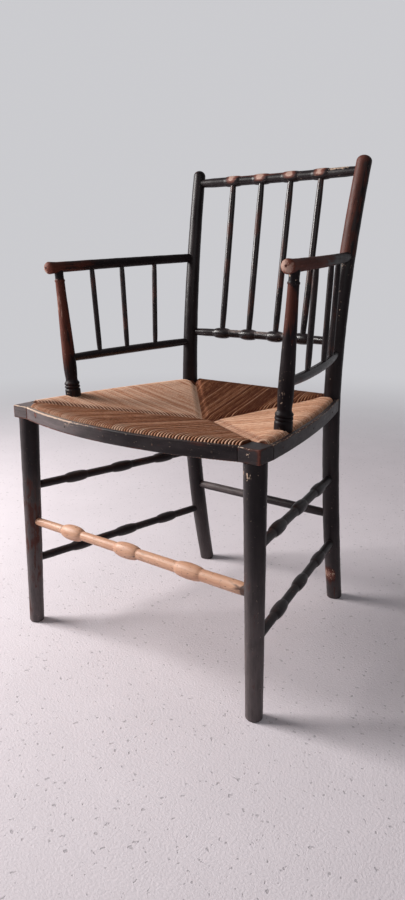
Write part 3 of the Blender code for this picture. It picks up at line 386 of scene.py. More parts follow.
@dataclass(frozen=True)
class AgedPaint:
    """Old gloss paint over a brown ground coat over wood, each layer showing where the last has gone.

    The piece's marks attribute says how much: red is rubbing, green is chips and blue is grey bloom; on some pieces
    they also carry painted light.
    """

    name: str = "aged_black_paint"
    top: Colour = (0.0050, 0.0034, 0.0043)
    top_faded: Colour = (0.0160, 0.0098, 0.0118)
    bloom: Colour = (0.175, 0.143, 0.143)
    ground: Colour = (0.048, 0.0120, 0.0078)
    ground_light: Colour = (0.165, 0.052, 0.036)
    wood: Colour = (0.500, 0.335, 0.275)
    chip: Colour = (0.600, 0.470, 0.340)
    gloss: float = 0.30
    specular: float = 0.26

    def build(self) -> bpy.types.Material:
        """Makes the material."""
        tree = ShaderTree(self.name)
        grain = tree.attribute("grain", "Vector")
        wear, chips, bloom = tree.separate(tree.attribute("marks", "Color"))
        streaks = tree.noise(tree.scaled(grain, (1.0, 1.0, 0.07)), 330.0, 4.0, 0.62)
        mottle = tree.noise(tree.scaled(grain, (1.0, 1.0, 0.45)), 62.0, 4.0, 0.6, 0.4)
        fine = tree.noise(tree.scaled(grain, (1.0, 1.0, 0.30)), 900.0, 3.0, 0.6)
        specks = tree.noise(tree.scaled(grain, (1.0, 1.0, 0.55), (3.1, 1.7, 0.4)), 420.0, 3.0, 0.7)
        patches = tree.math("MULTIPLY_ADD", mottle, 0.62, tree.math("MULTIPLY", streaks, 0.38))
        base = tree.mix(patches, self.top, self.top_faded)
        bloom_share = tree.math("MULTIPLY", bloom, tree.ranged(patches, 0.15, 0.85, 0.45, 1.0))
        base = tree.mix(bloom_share, base, self.bloom)
        rubbed = self.mask(tree, wear, patches, 3.4)
        worn_through = self.mask(tree, tree.math("SUBTRACT", wear, 0.66), patches, 3.0)
        depth = tree.math("MULTIPLY_ADD", streaks, 0.34, tree.ranged(wear, 0.55, 1.15, -0.10, 0.90))
        ground = tree.mix(depth, self.ground, self.ground_light)
        wood = tree.mix(tree.ranged(streaks, 0.0, 1.0, 0.0, 0.38), self.wood, self.ground_light)
        colour = tree.mix(rubbed, base, ground)
        colour = tree.mix(worn_through, colour, wood)
        chipped = self.mask(tree, chips, specks, 9.0)
        chip = tree.mix(fine, self.chip, self.wood)
        colour = tree.mix(chipped, colour, chip)
        tree.finish("Base Color", colour)
        rough = tree.ranged(patches, 0.1, 0.9, self.gloss, self.gloss + 0.17)
        rough = tree.math("MULTIPLY_ADD", tree.math("MAXIMUM", rubbed, bloom_share), 0.16, rough)
        rough = tree.math("MULTIPLY_ADD", chipped, 0.25, rough)
        tree.finish("Roughness", rough)
        tree.finish("Specular IOR Level", self.specular)
        whole = tree.math("SUBTRACT", 1.0, tree.math("MAXIMUM", chipped, tree.math("MULTIPLY", rubbed, 0.5)))
        height = tree.math("MULTIPLY_ADD", streaks, 0.35, tree.math("MULTIPLY", fine, 0.12))
        height = tree.math("ADD", height, whole)
        tree.finish("Normal", tree.bump(height, 0.55, 0.00028))
        return tree.material

    @staticmethod
    def mask(tree: ShaderTree, amount: object, pattern: object, sharpness: float) -> bpy.types.NodeSocket:
        """Where an amount of 0 to 1 has worn a pattern away, with edges of a given sharpness."""
        over = tree.math("SUBTRACT", amount, tree.math("SUBTRACT", 1.02, pattern))
        return tree.ranged(over, -0.5 / sharpness, 0.5 / sharpness, 0.0, 1.0, smooth=True)


@dataclass(frozen=True)
class BareWood:
    """Bare, handled wood with long grain; the marks' red leaves dark paint, with painted shade under the front
    stretcher, and green leaves pits.
    """

    name: str = "bare_honey_wood"
    light: Colour = (0.700, 0.425, 0.285)
    dark: Colour = (0.460, 0.215, 0.130)
    residue: Colour = (0.075, 0.035, 0.025)
    roughness: float = 0.46

    def build(self) -> bpy.types.Material:
        """Makes the material."""
        tree = ShaderTree(self.name)
        grain = tree.attribute("grain", "Vector")
        residue, pits, _ = tree.separate(tree.attribute("marks", "Color"))
        broad = tree.noise(tree.scaled(grain, (1.0, 1.0, 0.16)), 95.0, 3.0, 0.5, 0.6)
        lines = tree.noise(tree.scaled(grain, (1.0, 1.0, 0.035)), 700.0, 4.0, 0.65)
        flecks = tree.noise(tree.scaled(grain, (1.0, 1.0, 0.22), (0.7, 0.2, 0.1)), 620.0, 2.0, 0.5)
        figure = tree.math("MULTIPLY_ADD", broad, 0.55, tree.math("MULTIPLY", lines, 0.45))
        colour = tree.mix(figure, self.dark, self.light)
        fleck = tree.ranged(flecks, 0.80, 0.93, 0.0, 0.55, smooth=True)
        colour = tree.mix(fleck, colour, tuple(part * 0.55 for part in self.dark))
        left = AgedPaint.mask(tree, residue, broad, 2.6)
        colour = tree.mix(left, colour, self.residue)
        pitted = AgedPaint.mask(tree, pits, flecks, 7.0)
        colour = tree.mix(pitted, colour, self.residue)
        tree.finish("Base Color", colour)
        tree.finish("Roughness", tree.ranged(figure, 0.0, 1.0, self.roughness + 0.1, self.roughness - 0.06))
        height = tree.math("SUBTRACT", tree.math("MULTIPLY", lines, 0.6), tree.math("MAXIMUM", fleck, pitted))
        tree.finish("Normal", tree.bump(height, 0.5, 0.00025))
        return tree.material


@dataclass(frozen=True)
class TwistedRush:
    """Dry rush twisted into strands: fibres that wind round each strand, each strand its own tone, and painted shade
    down each strand's sides.
    """

    name: str = "twisted_rush"
    light: Colour = (0.820, 0.540, 0.385)
    middle: Colour = (0.520, 0.215, 0.105)
    dark: Colour = (0.120, 0.031, 0.012)
    turn_length: float = TURN_LENGTH

    def build(self) -> bpy.types.Material:
        """Makes the material."""
        tree = ShaderTree(self.name)
        around = tree.attribute("around", "Vector")
        along = tree.attribute("along", "Fac")
        tone = tree.attribute("tone", "Fac")
        turn = tree.nodes.new("ShaderNodeVectorRotate")
        turn.rotation_type = "Z_AXIS"
        tree.put(turn.inputs["Vector"], around)
        tree.put(turn.inputs["Angle"], tree.math("MULTIPLY", along, 2 * math.pi / self.turn_length))
        join = tree.nodes.new("ShaderNodeCombineXYZ")
        tree.put(join.inputs["Z"], tree.math("MULTIPLY_ADD", tone, 31.0, tree.math("MULTIPLY", along, 9.0)))
        shift = tree.nodes.new("ShaderNodeVectorMath")
        tree.put(shift.inputs[0], turn.outputs[0])
        tree.put(shift.inputs[1], join.outputs[0])
        fibre = tree.noise(shift.outputs[0], 3.4, 4.0, 0.62)
        hair = tree.noise(tree.scaled(shift.outputs[0], (1.0, 1.0, 0.35)), 13.0, 3.0, 0.6)
        blotch = tree.noise(tree.scaled(shift.outputs[0], (0.1, 0.1, 1.0)), 2.2, 2.0, 0.5)
        shade = tree.math("MULTIPLY_ADD", fibre, 0.46, tree.math("MULTIPLY", hair, 0.16))
        shade = tree.math("ADD", shade, tree.math("MULTIPLY", tone, 0.42))
        shade = tree.math("ADD", shade, tree.math("MULTIPLY_ADD", blotch, 0.22, -0.10))
        low = tree.mix(tree.ranged(shade, 0.12, 0.50), self.dark, self.middle)
        colour = tree.mix(tree.ranged(shade, 0.45, 0.92), low, self.light)
        split = tree.nodes.new("ShaderNodeSeparateXYZ")
        tree.put(split.inputs[0], around)
        # Darkens each strand's sides towards the dark colour: painted shade between strands.
        flank_shade = tree.ranged(tree.math("ABSOLUTE", split.outputs["X"]), 0.30, 0.95, 0.0, 0.96, smooth=True)
        colour = tree.mix(flank_shade, colour, self.dark)
        tree.finish("Base Color", colour)
        tree.finish("Roughness", tree.ranged(fibre, 0.0, 1.0, 0.78, 0.58))
        tree.finish("Specular IOR Level", 0.22)
        height = tree.math("MULTIPLY_ADD", hair, 0.45, fibre)
        tree.finish("Normal", tree.bump(height, 0.6, 0.0006))
        return tree.material


@dataclass(frozen=True)
class DullIron:
    """Old iron nail heads, dark with specks of rust."""

    name: str = "dull_iron"
    metal: Colour = (0.060, 0.052, 0.050)
    rust: Colour = (0.200, 0.070, 0.030)

    def build(self) -> bpy.types.Material:
        """Makes the material."""
        tree = ShaderTree(self.name)
        coordinates = tree.nodes.new("ShaderNodeTexCoord")
        grain = tree.noise(coordinates.outputs["Object"], 900.0, 4.0, 0.6)
        tree.finish("Base Color", tree.mix(tree.ranged(grain, 0.5, 0.9), self.metal, self.rust))
        tree.finish("Roughness", tree.ranged(grain, 0.0, 1.0, 0.42, 0.75))
        tree.finish("Metallic", 0.7)
        tree.finish("Normal", tree.bump(grain, 0.4, 0.0002))
        return tree.material


@dataclass(frozen=True)
class PlainSurface:
    """The studio floor: pale, matt and very slightly uneven."""

    name: str = "pale_floor"
    colour: Colour = (0.780, 0.715, 0.760)
    far_colour: Colour = (0.600, 0.600, 0.625)
    near: float = 0.9
    far: float = 3.2
    pit_colour: Colour = (0.330, 0.300, 0.320)

    def build(self) -> bpy.types.Material:
        """Makes the material, which shows the backdrop's colour far from the chair."""
        tree = ShaderTree(self.name)
        place = tree.nodes.new("ShaderNodeTexCoord").outputs["Object"]
        cloud = tree.noise(place, 6.0, 5.0, 0.6)
        grit = tree.noise(place, 260.0, 4.0, 0.7)
        pits = tree.ranged(tree.noise(place, 105.0, 2.0, 0.5), 0.84, 0.97, smooth=True)
        darker = tuple(part * 0.94 for part in self.colour)
        colour = tree.mix(cloud, darker, self.colour)
        tree.finish("Base Color", tree.mix(tree.math("MULTIPLY", pits, 0.5), colour, self.pit_colour))
        tree.finish("Roughness", 0.85)
        tree.finish("Specular IOR Level", 0.2)
        tree.finish("Normal", tree.bump(tree.math("MULTIPLY_ADD", pits, -1.6, grit), 0.5, 0.0012))
        far = tree.ranged(tree.measure("LENGTH", place), self.near, self.far, smooth=True)
        seen, glow = tree.backdrop("ShaderNodeEmission", place, 0.8, -0.6)
        share = tree.math("MULTIPLY", seen, far)
        tree.surface(tree.nodes["Material Output"], share, tree.shader.outputs[0], glow)
        return tree.material


@dataclass(frozen=True)
class Finishes:
    """The chair's materials, built once and shared."""

    paint: bpy.types.Material
    handled_paint: bpy.types.Material
    stick_paint: bpy.types.Material
    bare: bpy.types.Material
    hidden: bpy.types.Material
    rush: bpy.types.Material
    iron: bpy.types.Material

    @classmethod
    def build(cls) -> "Finishes":
        """Builds every finish."""
        return cls(
            paint=AgedPaint().build(),
            handled_paint=AgedPaint(name="aged_handled_paint", gloss=0.36, specular=0.14).build(),
            stick_paint=AgedPaint(name="aged_stick_paint", gloss=0.19, specular=0.42).build(),
            bare=BareWood().build(),
            hidden=BareWood(name="rough_hidden_wood", light=(0.42, 0.27, 0.16),
                            dark=(0.25, 0.14, 0.08)).build(),
            rush=TwistedRush().build(),
            iron=DullIron().build(),
        )


@dataclass
class RoundBar:
    """A round member: stations along its axis, and what its surface went through.

    Each vertex keeps where it lies in the straightened bar (grain) and its wear, with any painted light (marks).
    """

    name: str
    axis: list[Vector]
    radii: list[float]
    marks: MarkRule
    sides: int = 32
    ripple: float = 0.00012
    seed: int = 1
    sharp_angle: float = 50.0
    stands: bool = False

    def frames(self) -> list[tuple[Vector, Vector]]:
        """Two directions across the bar at each station, carried along it without twist."""
        tangents = []
        last = len(self.axis) - 1
        for index in range(last + 1):
            step = self.axis[min(index + 1, last)] - self.axis[max(index - 1, 0)]
            tangents.append(step.normalized())
        across = Vector((1.0, 0.0, 0.0))
        if abs(tangents[0].dot(across)) > 0.8:
            across = Vector((0.0, 1.0, 0.0))
        result = []
        for tangent in tangents:
            across = (across - tangent * across.dot(tangent)).normalized()
            result.append((across.copy(), tangent.cross(across)))
        return result

    def build(self, finish: bpy.types.Material) -> bpy.types.Object:
        """Makes the piece.

        Args:
            finish: Its material.

        Returns:
            The new object, at the origin.
        """
        verts: list[Vector] = []
        grain: list[Vector] = []
        marks: list[Marks] = []
        shift = Vector((self.seed * 0.37, self.seed * 0.53, self.seed * 0.91))
        distance = 0.0
        previous = self.axis[0]
        for place, radius, (first, second) in zip(self.axis, self.radii, self.frames()):
            distance += (place - previous).length
            previous = place
            for corner in range(self.sides):
                angle = 2 * math.pi * corner / self.sides
                outwards = first * math.cos(angle) + second * math.sin(angle)
                seat = place + outwards * radius
                uneven = noise.noise(seat * 55.0 + shift) + 0.5 * noise.noise(seat * 160.0 + shift)
                size = radius + self.ripple * uneven * min(radius / 0.004, 1.0)
                verts.append(self.grounded(place + outwards * size, first.cross(second), distance))
                grain.append(Vector((math.cos(angle) * radius, math.sin(angle) * radius, distance)) + shift)
                marks.append(self.marks(seat, outwards, distance))
        faces = []
        for ring in range(len(self.axis) - 1):
            for corner in range(self.sides):
                after = (corner + 1) % self.sides
                low, high = ring * self.sides, (ring + 1) * self.sides
                faces.append((low + corner, low + after, high + after, high + corner))
        faces.append(tuple(reversed(range(self.sides))))
        top = (len(self.axis) - 1) * self.sides
        faces.append(tuple(range(top, top + self.sides)))
        mesh = bpy.data.meshes.new(self.name)
        mesh.from_pydata(verts, [], faces)
        store_surface(mesh, grain, marks)
        return placed(self.name, mesh, finish, self.sharp_angle)

    def grounded(self, vertex: Vector, along: Vector, distance: float) -> Vector:
        """Slides a vertex of a standing bar along it, so that its foot is cut flat on the floor."""
        level = 0.2 * distance
        if self.stands and (distance == 0.0 or vertex.z < level):
            return vertex + along * ((level - vertex.z) / along.z)
        return vertex


def store_surface(mesh: bpy.types.Mesh, grain: Sequence[Vector], marks: Sequence[Marks]) -> None:
    """Writes the grain and marks attributes of a mesh's vertices."""
    lines = mesh.attributes.new("grain", "FLOAT_VECTOR", "POINT")
    lines.data.foreach_set("vector", [part for vector in grain for part in vector])
    wear = mesh.attributes.new("marks", "FLOAT_COLOR", "POINT")
    wear.data.foreach_set("color", [part for mark in marks for part in (*mark, 1.0)])


def straight_axis(start: Vector, end: Vector, stations: Sequence[float]) -> list[Vector]:
    """Points at given distances from start, on the line towards end."""
    along = (end - start).normalized()
    return [start + along * station for station in stations]


def stations_for(length: float, step: float, knots: Sequence[float] = ()) -> list[float]:
    """Even distances from 0 to a length, with two close ones at each knot, to keep it crisp."""
    count = max(round(length / step), 2)
    places = {round(length * index / count, 6) for index in range(count + 1)}
    for knot in knots:
        for place in (knot - 0.00025, knot + 0.00025):
            if 0.0 < place < length:
                places.add(round(place, 6))
    return sorted(places)


def dome(radius: float, height: float, distance: float) -> float:
    """The radius of an oval dome at a distance from its tip."""
    share = min(max(distance / height, 0.0), 1.0)
    return max(radius * math.sqrt(1 - (1 - share) ** 2), radius * 0.03)


def bead_swell(distance: float, centres: Sequence[float], half: float) -> float:
    """0 on the rod and 1 on top of a bead, along half ovals about the centres."""
    swell = 0.0
    for centre in centres:
        share = abs(distance - centre) / half
        if share < 1.0:
            swell = max(swell, (1 - share ** 2.2) ** 0.62)
    return swell


@dataclass
class FrontLegs:
    """The two turned front legs and the square blocks on top of them."""

    layout: Layout
    foot_radius: float = 0.0136
    top_radius: float = 0.0176
    foot_rounding: float = 0.0022

    def marks(self, side: Side) -> MarkRule:
        """Grey bloom low down, brown streaks on the left leg, cream chips near the top of the right one; more grey
        low on the lamp side is painted light.
        """
        def rule(place: Vector, outwards: Vector, distance: float) -> Marks:
            low = soft_step(0.36, 0.02, place.z)
            lit = soft_step(-0.2, 0.9, outwards.dot(WINDOW_SIDE))
            patch = noise.noise(Vector((place.x * 60, place.y * 60, place.z * 7)))
            wear = 0.14 + 0.16 * patch + 0.12 * low
            chips = 0.03
            # The lit term greys the lamp side low down: painted light.
            bloom = 0.06 + 0.62 * low + 0.24 * patch + 0.20 * lit * low
            if side is Side.RIGHT:
                fleck = noise.noise(Vector((place.x * 420, place.y * 420, place.z * 70)))
                near_top = bump_at(0.391, 0.014, place.z) * soft_step(0.2, 0.7, outwards.dot(WINDOW_SIDE))
                chips += 0.75 * near_top * soft_step(0.0, 0.3, fleck)
            else:
                streak = Vector((place.x * 160, place.y * 160, place.z * 16))
                brown = noise.noise(streak + Vector((7.0, 2.0, 5.0)))
                wear += bump_at(0.22, 0.17, place.z) * (0.24 + 0.26 * brown)
                bloom += 0.12 * bump_at(0.22, 0.17, place.z)
            return wear, chips, bloom
        return rule

    def leg(self, side: Side, finishes: Finishes) -> bpy.types.Object:
        """One leg, from its worn foot to just inside its block."""
        foot = self.layout.leg(side, 0.0)
        top = self.layout.leg(side, self.layout.seat_z - self.layout.block_height)
        length = (top - foot).length
        stations = stations_for(length, 0.003, (0.001, self.foot_rounding, length - 0.0009))
        radii = []
        for distance in stations:
            radius = blend(self.foot_radius, self.top_radius, distance / length)
            rounding = 0.0016 * soft_step(self.foot_rounding, 0.0, distance)
            radii.append(radius - rounding if distance < length - 0.0009 else radius * 0.96)
        bar = RoundBar(f"painted_front_leg_{side.word}", straight_axis(foot, top, stations), radii,
                       self.marks(side), sides=44, ripple=0.00025, seed=3 + side.value, stands=True)
        return settle(bar.build(finishes.paint), Slot.PAINT, f"front_leg_{side.word}")

    def block_marks(self, side: Side) -> MarkRule:
        """Bare edges and corners; a grey left block, partly bloom and partly painted light; chips on the right one.
        """
        layout = self.layout
        middle = layout.block_middle(side)
        half = Vector((layout.block_side / 2, layout.block_side / 2, layout.block_height / 2))

        def rule(place: Vector, outwards: Vector, distance: float) -> Marks:
            inset = sorted(half[i] - abs(place[i] - middle[i]) for i in range(3))
            edge = soft_step(0.0032, 0.0004, inset[1])
            top = soft_step(0.5, 1.0, outwards.z)
            front = soft_step(0.6, 1.0, -outwards.y)
            upper = soft_step(0.0, 0.5, outwards.z)
            if side is Side.LEFT:
                # The left block's grey is partly bloom and partly painted light on the lamp side.
                return 0.22 + 0.85 * edge * (1 - upper), 0.06 + 0.66 * edge * upper, 0.92 + 0.08 * top
            away = (Vector((layout.block_face_x, layout.face_y)) - place.xy).length
            corner = soft_step(0.009, 0.002, away)
            spots = bump_at(0.2435, 0.007, place.x) * bump_at(0.421, 0.006, place.z) * front
            pale = edge * upper * soft_step(0.250, 0.232, place.x) * soft_step(0.0, 0.4, -outwards.y)
            return 0.12 + 0.42 * edge + 0.40 * corner, 0.05 + 0.6 * pale + 0.60 * spots, 0.10 + 0.06 * top
        return rule

    def block(self, side: Side, finishes: Finishes) -> bpy.types.Object:
        """One block, with worn, slightly uneven edges."""
        layout = self.layout
        name = f"painted_corner_block_{side.word}"
        shape = bmesh.new()
        bmesh.ops.create_cube(shape, size=1.0)
        size = Vector((layout.block_side, layout.block_side, layout.block_height))
        middle = layout.block_middle(side)
        for vertex in shape.verts:
            vertex.co = Vector([middle[i] + vertex.co[i] * size[i] for i in range(3)])
        bmesh.ops.bevel(shape, geom=shape.edges[:], offset=0.0016, segments=3, affect="EDGES", profile=0.5)
        block = worn_plank(name, shape, 0.0014, self.block_marks(side), finishes.paint, seed=7 + side.value)
        return settle(block, Slot.PAINT, f"corner_block_{side.word}")

    def build(self, finishes: Finishes) -> None:
        """Makes both legs and both blocks."""
        for side in Side:
            self.leg(side, finishes)
            self.block(side, finishes)


def worn_plank(name: str, shape: bmesh.types.BMesh, step: float, marks: MarkRule,
               finish: bpy.types.Material, seed: int, long_axis: int = 0) -> bpy.types.Object:
    """Turns a flat-sided closed shape into a finely divided piece with wear on its vertices.

    Args:
        name: The piece's name.
        shape: The closed shape, which is used up.
        step: The longest edge wanted, in metres.
        marks: How worn each place is, with any painted light.
        finish: Its material.
        seed: Moves the unevenness to another place.
        long_axis: The axis that the grain runs along.

    Returns:
        The new object, at the origin.
    """
    for _ in range(12):
        long_edges = [edge for edge in shape.edges if edge.calc_length() > step * 2]
        if not long_edges:
            break
        bmesh.ops.subdivide_edges(shape, edges=long_edges, cuts=1, use_grid_fill=True)
    bmesh.ops.triangulate(shape, faces=[face for face in shape.faces if len(face.verts) > 4])
    bmesh.ops.recalc_face_normals(shape, faces=shape.faces[:])
    shape.normal_update()
    shift = Vector((seed * 0.61, seed * 0.29, seed * 0.47))
    grain, worn = [], []
    for vertex in shape.verts:
        place, outwards = vertex.co.copy(), vertex.normal.copy()
        uneven = noise.noise(place * 70.0 + shift) + 0.6 * noise.noise(place * 210.0 + shift)
        vertex.co = place + outwards * (0.00014 * uneven)
        turned = Vector((place[(long_axis + 1) % 3], place[(long_axis + 2) % 3], place[long_axis]))
        grain.append(turned + shift)
        worn.append(marks(place, outwards, place[long_axis]))
    mesh = bpy.data.meshes.new(name)
    shape.to_mesh(mesh)
    shape.free()
    store_surface(mesh, grain, worn)
    return placed(name, mesh, finish, 40.0)


@dataclass
class BackPosts:
    """The two bent back posts with their domed tops."""

    layout: Layout
    foot_radius: float = 0.0149
    calf_radius: float = 0.0163
    calf_z: float = 0.150
    seat_radius: float = 0.0156
    arm_radius: dict[Side, float] = field(default_factory=lambda: {Side.LEFT: 0.0131, Side.RIGHT: 0.0145})
    top_radius: dict[Side, float] = field(default_factory=lambda: {Side.LEFT: 0.0119, Side.RIGHT: 0.0136})
    dome_height: float = 0.010

    def radius(self, side: Side, z: float) -> float:
        """A post's radius at a height, below its dome."""
        layout = self.layout
        knots = ((0.0, self.foot_radius), (self.calf_z, self.calf_radius), (layout.seat_z, self.seat_radius),
                 (layout.arm_post_z, self.arm_radius[side]), (layout.top_z, self.top_radius[side]))
        return interpolate(knots, z)

    def marks(self, side: Side) -> MarkRule:
        """The right post is rubbed brown above its arm, chipped below it and flaked near the floor; extra rubbing on
        the lamp side is painted light.
        """
        def rule(place: Vector, outwards: Vector, distance: float) -> Marks:
            patch = noise.noise(Vector((place.x * 50, place.y * 50, place.z * 9)) + Vector((4.0, 1.0, 2.0)))
            lit = soft_step(-0.5, 0.7, outwards.dot(WINDOW_SIDE))
            top = soft_step(0.840, 0.855, place.z)
            low = soft_step(0.22, 0.02, place.z)
            if side is Side.RIGHT:
                above = soft_step(0.676, 0.690, place.z)
                dull = bump_at(0.730, 0.040, place.z)
                speck = noise.noise(place * 210.0 + Vector((0.0, 3.0, 1.0)))
                # The lit term lightens the lamp side: painted light on top of the real rubbing.
                wear = 0.12 + 0.12 * patch + above * (0.34 + 0.30 * lit - 0.14 * dull) + 0.12 * top
                chips = 0.03 + 0.35 * bump_at(0.672, 0.012, place.z) * lit
                chips += 0.55 * bump_at(0.600, 0.085, place.z) * lit * soft_step(0.25, 0.5, speck)
                flaked = bump_at(0.060, 0.022, place.z) * soft_step(-0.4, 0.1, outwards.dot(WINDOW_SIDE))
                # The lit term here lightens the lamp side near the floor: painted light.
                wear += (0.85 + 0.5 * patch) * flaked + 0.30 * bump_at(0.035, 0.09, place.z) * lit
                return wear, chips + 0.35 * flaked, 0.04 + 0.1 * patch + 0.25 * low
            return 0.08 + 0.1 * patch + 0.30 * top, 0.02, 0.04 + 0.12 * patch + 0.40 * low
        return rule

    def build(self, finishes: Finishes) -> None:
        """Makes both posts."""
        layout = self.layout
        dome_start = layout.top_z - self.dome_height
        stations = stations_for(dome_start, 0.0035, (0.001, 0.0025))
        stations += [dome_start + self.dome_height * share for share in
                     (0.15, 0.3, 0.45, 0.58, 0.7, 0.8, 0.88, 0.94, 0.975, 0.995, 1.0)]
        for side in Side:
            axis = [layout.post(side, z) for z in stations]
            radii = []
            for z in stations:
                if z <= dome_start:
                    radii.append(self.radius(side, z) - 0.0014 * soft_step(0.0025, 0.0, z))
                else:
                    radii.append(dome(self.top_radius[side], self.dome_height, layout.top_z - z))
            bar = RoundBar(f"painted_back_post_{side.word}", axis, radii, self.marks(side),
                           sides=44, ripple=0.00025, seed=11 + side.value, stands=True)
            settle(bar.build(finishes.paint), Slot.PAINT, f"back_post_{side.word}")


@dataclass
class Arms:
    """Arms, their turned supports and the bowed rails below them."""

    layout: Layout
    end_radius: float = 0.0109
    end_dome: float = 0.008
    neck_radius: float = 0.0096
    neck_at: float = 0.026
    post_radius: float = 0.0084
    support_from_tip: float = 0.029
    support_base: tuple[float, float, float] = (0.2302, -0.09865, 0.4306)
    rail_radius: float = 0.0078
    rail_heights: tuple[float, float] = (0.5035, 0.5135)
    rail_bow: dict[Side, float] = field(default_factory=lambda: {Side.LEFT: 0.0060, Side.RIGHT: 0.0125})
    spindle_radius: float = 0.0050
    above: dict[Side, tuple[float, ...]] = field(default_factory=lambda: {
        Side.LEFT: (0.104, 0.174, 0.251), Side.RIGHT: (0.115, 0.198, 0.247)})
    below: dict[Side, tuple[float, ...]] = field(default_factory=lambda: {
        Side.LEFT: (0.0715, 0.136, 0.204), Side.RIGHT: (0.0785, 0.165, 0.2225)})

    def length(self, side: Side) -> float:
        """An arm's length from its tip to its post's axis, along the chord."""
        return (self.layout.arm(side, 1.0) - self.layout.arm(side, 0.0)).length

    def radius(self, side: Side, distance: float) -> float:
        """An arm's radius: a blunt domed end, then a long taper."""
        if distance < self.end_dome:
            return dome(self.end_radius, self.end_dome, distance)
        knots = ((self.end_dome, self.end_radius), (self.neck_at, self.neck_radius),
                 (self.length(side), self.post_radius))
        return interpolate(knots, distance)

    def arm_marks(self, side: Side) -> MarkRule:
        """Hands have rubbed the front half to brown and the blunt end to pale wood."""
        near, far = (0.04, 0.19) if side is Side.LEFT else (0.14, 0.29)

        def rule(place: Vector, outwards: Vector, distance: float) -> Marks:
            patch = noise.noise(place * 38.0 + Vector((side.value * 3.0, 0.0, 5.0)))
            rubbed = soft_step(far, near, distance + 0.02 * patch)
            tip = soft_step(0.010, 0.001, distance)
            wear = 0.10 + 0.56 * rubbed + 0.08 * patch + 0.44 * tip + 0.08 * soft_step(0.05, 0.01, distance)
            pin = (place - self.layout.arm(side, 0.0) - Vector((0.0, 0.0, 0.001))).length
            if pin < 0.0019:
                return 0.40, 0.0, 0.0
            return wear, 0.03, 0.03
        return rule

    def arm(self, side: Side, finishes: Finishes) -> bpy.types.Object:
        """One arm."""
        length = self.length(side)
        stop = length - 0.006
        stations = [self.end_dome * share for share in
                    (0.0, 0.004, 0.02, 0.05, 0.1, 0.17, 0.26, 0.36, 0.48, 0.62, 0.8)]
        stations += [self.end_dome + place for place in stations_for(stop - self.end_dome, 0.003)]
        axis = [self.layout.arm(side, station / length) for station in stations]
        radii = [self.radius(side, station) for station in stations]
        radii[0] = 0.0003
        bar = RoundBar(f"worn_arm_{side.word}", axis, radii, self.arm_marks(side),
                       sides=40, ripple=0.00022, seed=17 + side.value)
        return settle(bar.build(finishes.handled_paint), Slot.BROWN, f"arm_{side.word}")

    def support_ends(self, side: Side) -> tuple[Vector, Vector]:
        """The foot of a support, and where its axis meets the arm's underside."""
        base = Vector(self.support_base)
        base.x *= side.value
        length = self.length(side)
        top = self.layout.arm(side, self.support_from_tip / length)
        return base, top - Vector((0, 0, self.radius(side, self.support_from_tip)))

    def support_knots(self, length: float) -> list[tuple[float, float]]:
        """The turned outline of a support as (distance, radius) pairs."""
        ring_low = length - 0.0165
        return [
            (-0.0030, 0.0128), (0.0, 0.0139), (0.0012, 0.0143), (0.0140, 0.0143), (0.0152, 0.0138),
            (0.0162, 0.0124), (0.0170, 0.0124), (0.0178, 0.0139), (0.0190, 0.0142), (0.0206, 0.0142),
            (0.0216, 0.0136), (0.0222, 0.0123), (0.0228, 0.0123), (0.0236, 0.0136), (0.0248, 0.0141),
            (0.0266, 0.0141), (0.0280, 0.0134), (0.0300, 0.0118), (0.0325, 0.0111), (0.0350, 0.0110),
            (0.0440, 0.0118), (0.0560, 0.0122), (0.0800, 0.0120), (0.1200, 0.0109), (0.1600, 0.0097),
            (length - 0.034, 0.0087), (ring_low - 0.001, 0.0085), (ring_low, 0.0084),
            (ring_low + 0.0011, 0.0093), (ring_low + 0.0034, 0.0093), (ring_low + 0.0046, 0.0081),
            (ring_low + 0.0065, 0.0079), (length - 0.004, 0.0079), (length, 0.0081),
            (length + 0.004, 0.0081),
        ]

    def support_marks(self, side: Side) -> MarkRule:
        """Rubbed brown by sleeves in the upper part, more on the lamp side as painted light, dark at the neck and
        round the foot.
        """
        def rule(place: Vector, outwards: Vector, distance: float) -> Marks:
            stretched = Vector((place.x * 70, place.y * 70, place.z * 14))
            patch = noise.noise(stretched + Vector((1.0, side.value, 0.0)))
            low, high = (0.465, 0.525) if side is Side.LEFT else (0.530, 0.600)
            band = soft_step(low, high, place.z) * soft_step(0.655, 0.643, place.z)
            lit = soft_step(-0.6, 0.8, outwards.dot(WINDOW_SIDE))
            speck = noise.noise(place * 300.0)
            if side is Side.LEFT:
                # The lit terms add rubbing on the lamp side: painted light.
                wear = 0.20 + band * (0.48 + 0.20 * lit) + 0.12 * patch
                chips = 0.03 + 0.5 * soft_step(0.25, 0.5, speck) * bump_at(0.44, 0.03, place.z) * lit
            else:
                wear = 0.12 + band * (0.42 + 0.16 * lit) + 0.12 * patch
                chips = 0.03 + 0.6 * soft_step(0.3, 0.5, speck) * bump_at(0.655, 0.012, place.z)
                chips += 0.45 * soft_step(0.25, 0.5, speck) * bump_at(0.490, 0.08, place.z) * lit
            return wear, chips, 0.05 + 0.1 * patch
        return rule

    def support(self, side: Side, finishes: Finishes) -> bpy.types.Object:
        """One turned support."""
        base, top = self.support_ends(side)
        length = (top - base).length
        knots = self.support_knots(length)
        low, high = knots[0][0], knots[-1][0]
        stations = sorted({round(low + (high - low) * i / 110, 6) for i in range(111)}
                          | {round(knot, 6) for knot, _ in knots})
        axis = straight_axis(base, top, stations)
        radii = [interpolate(knots, station) for station in stations]
        bar = RoundBar(f"turned_arm_support_{side.word}", axis, radii, self.support_marks(side),
                       sides=40, ripple=0.00015, seed=23 + side.value, sharp_angle=60.0)
        return settle(bar.build(finishes.handled_paint), Slot.BROWN, f"arm_support_{side.word}")

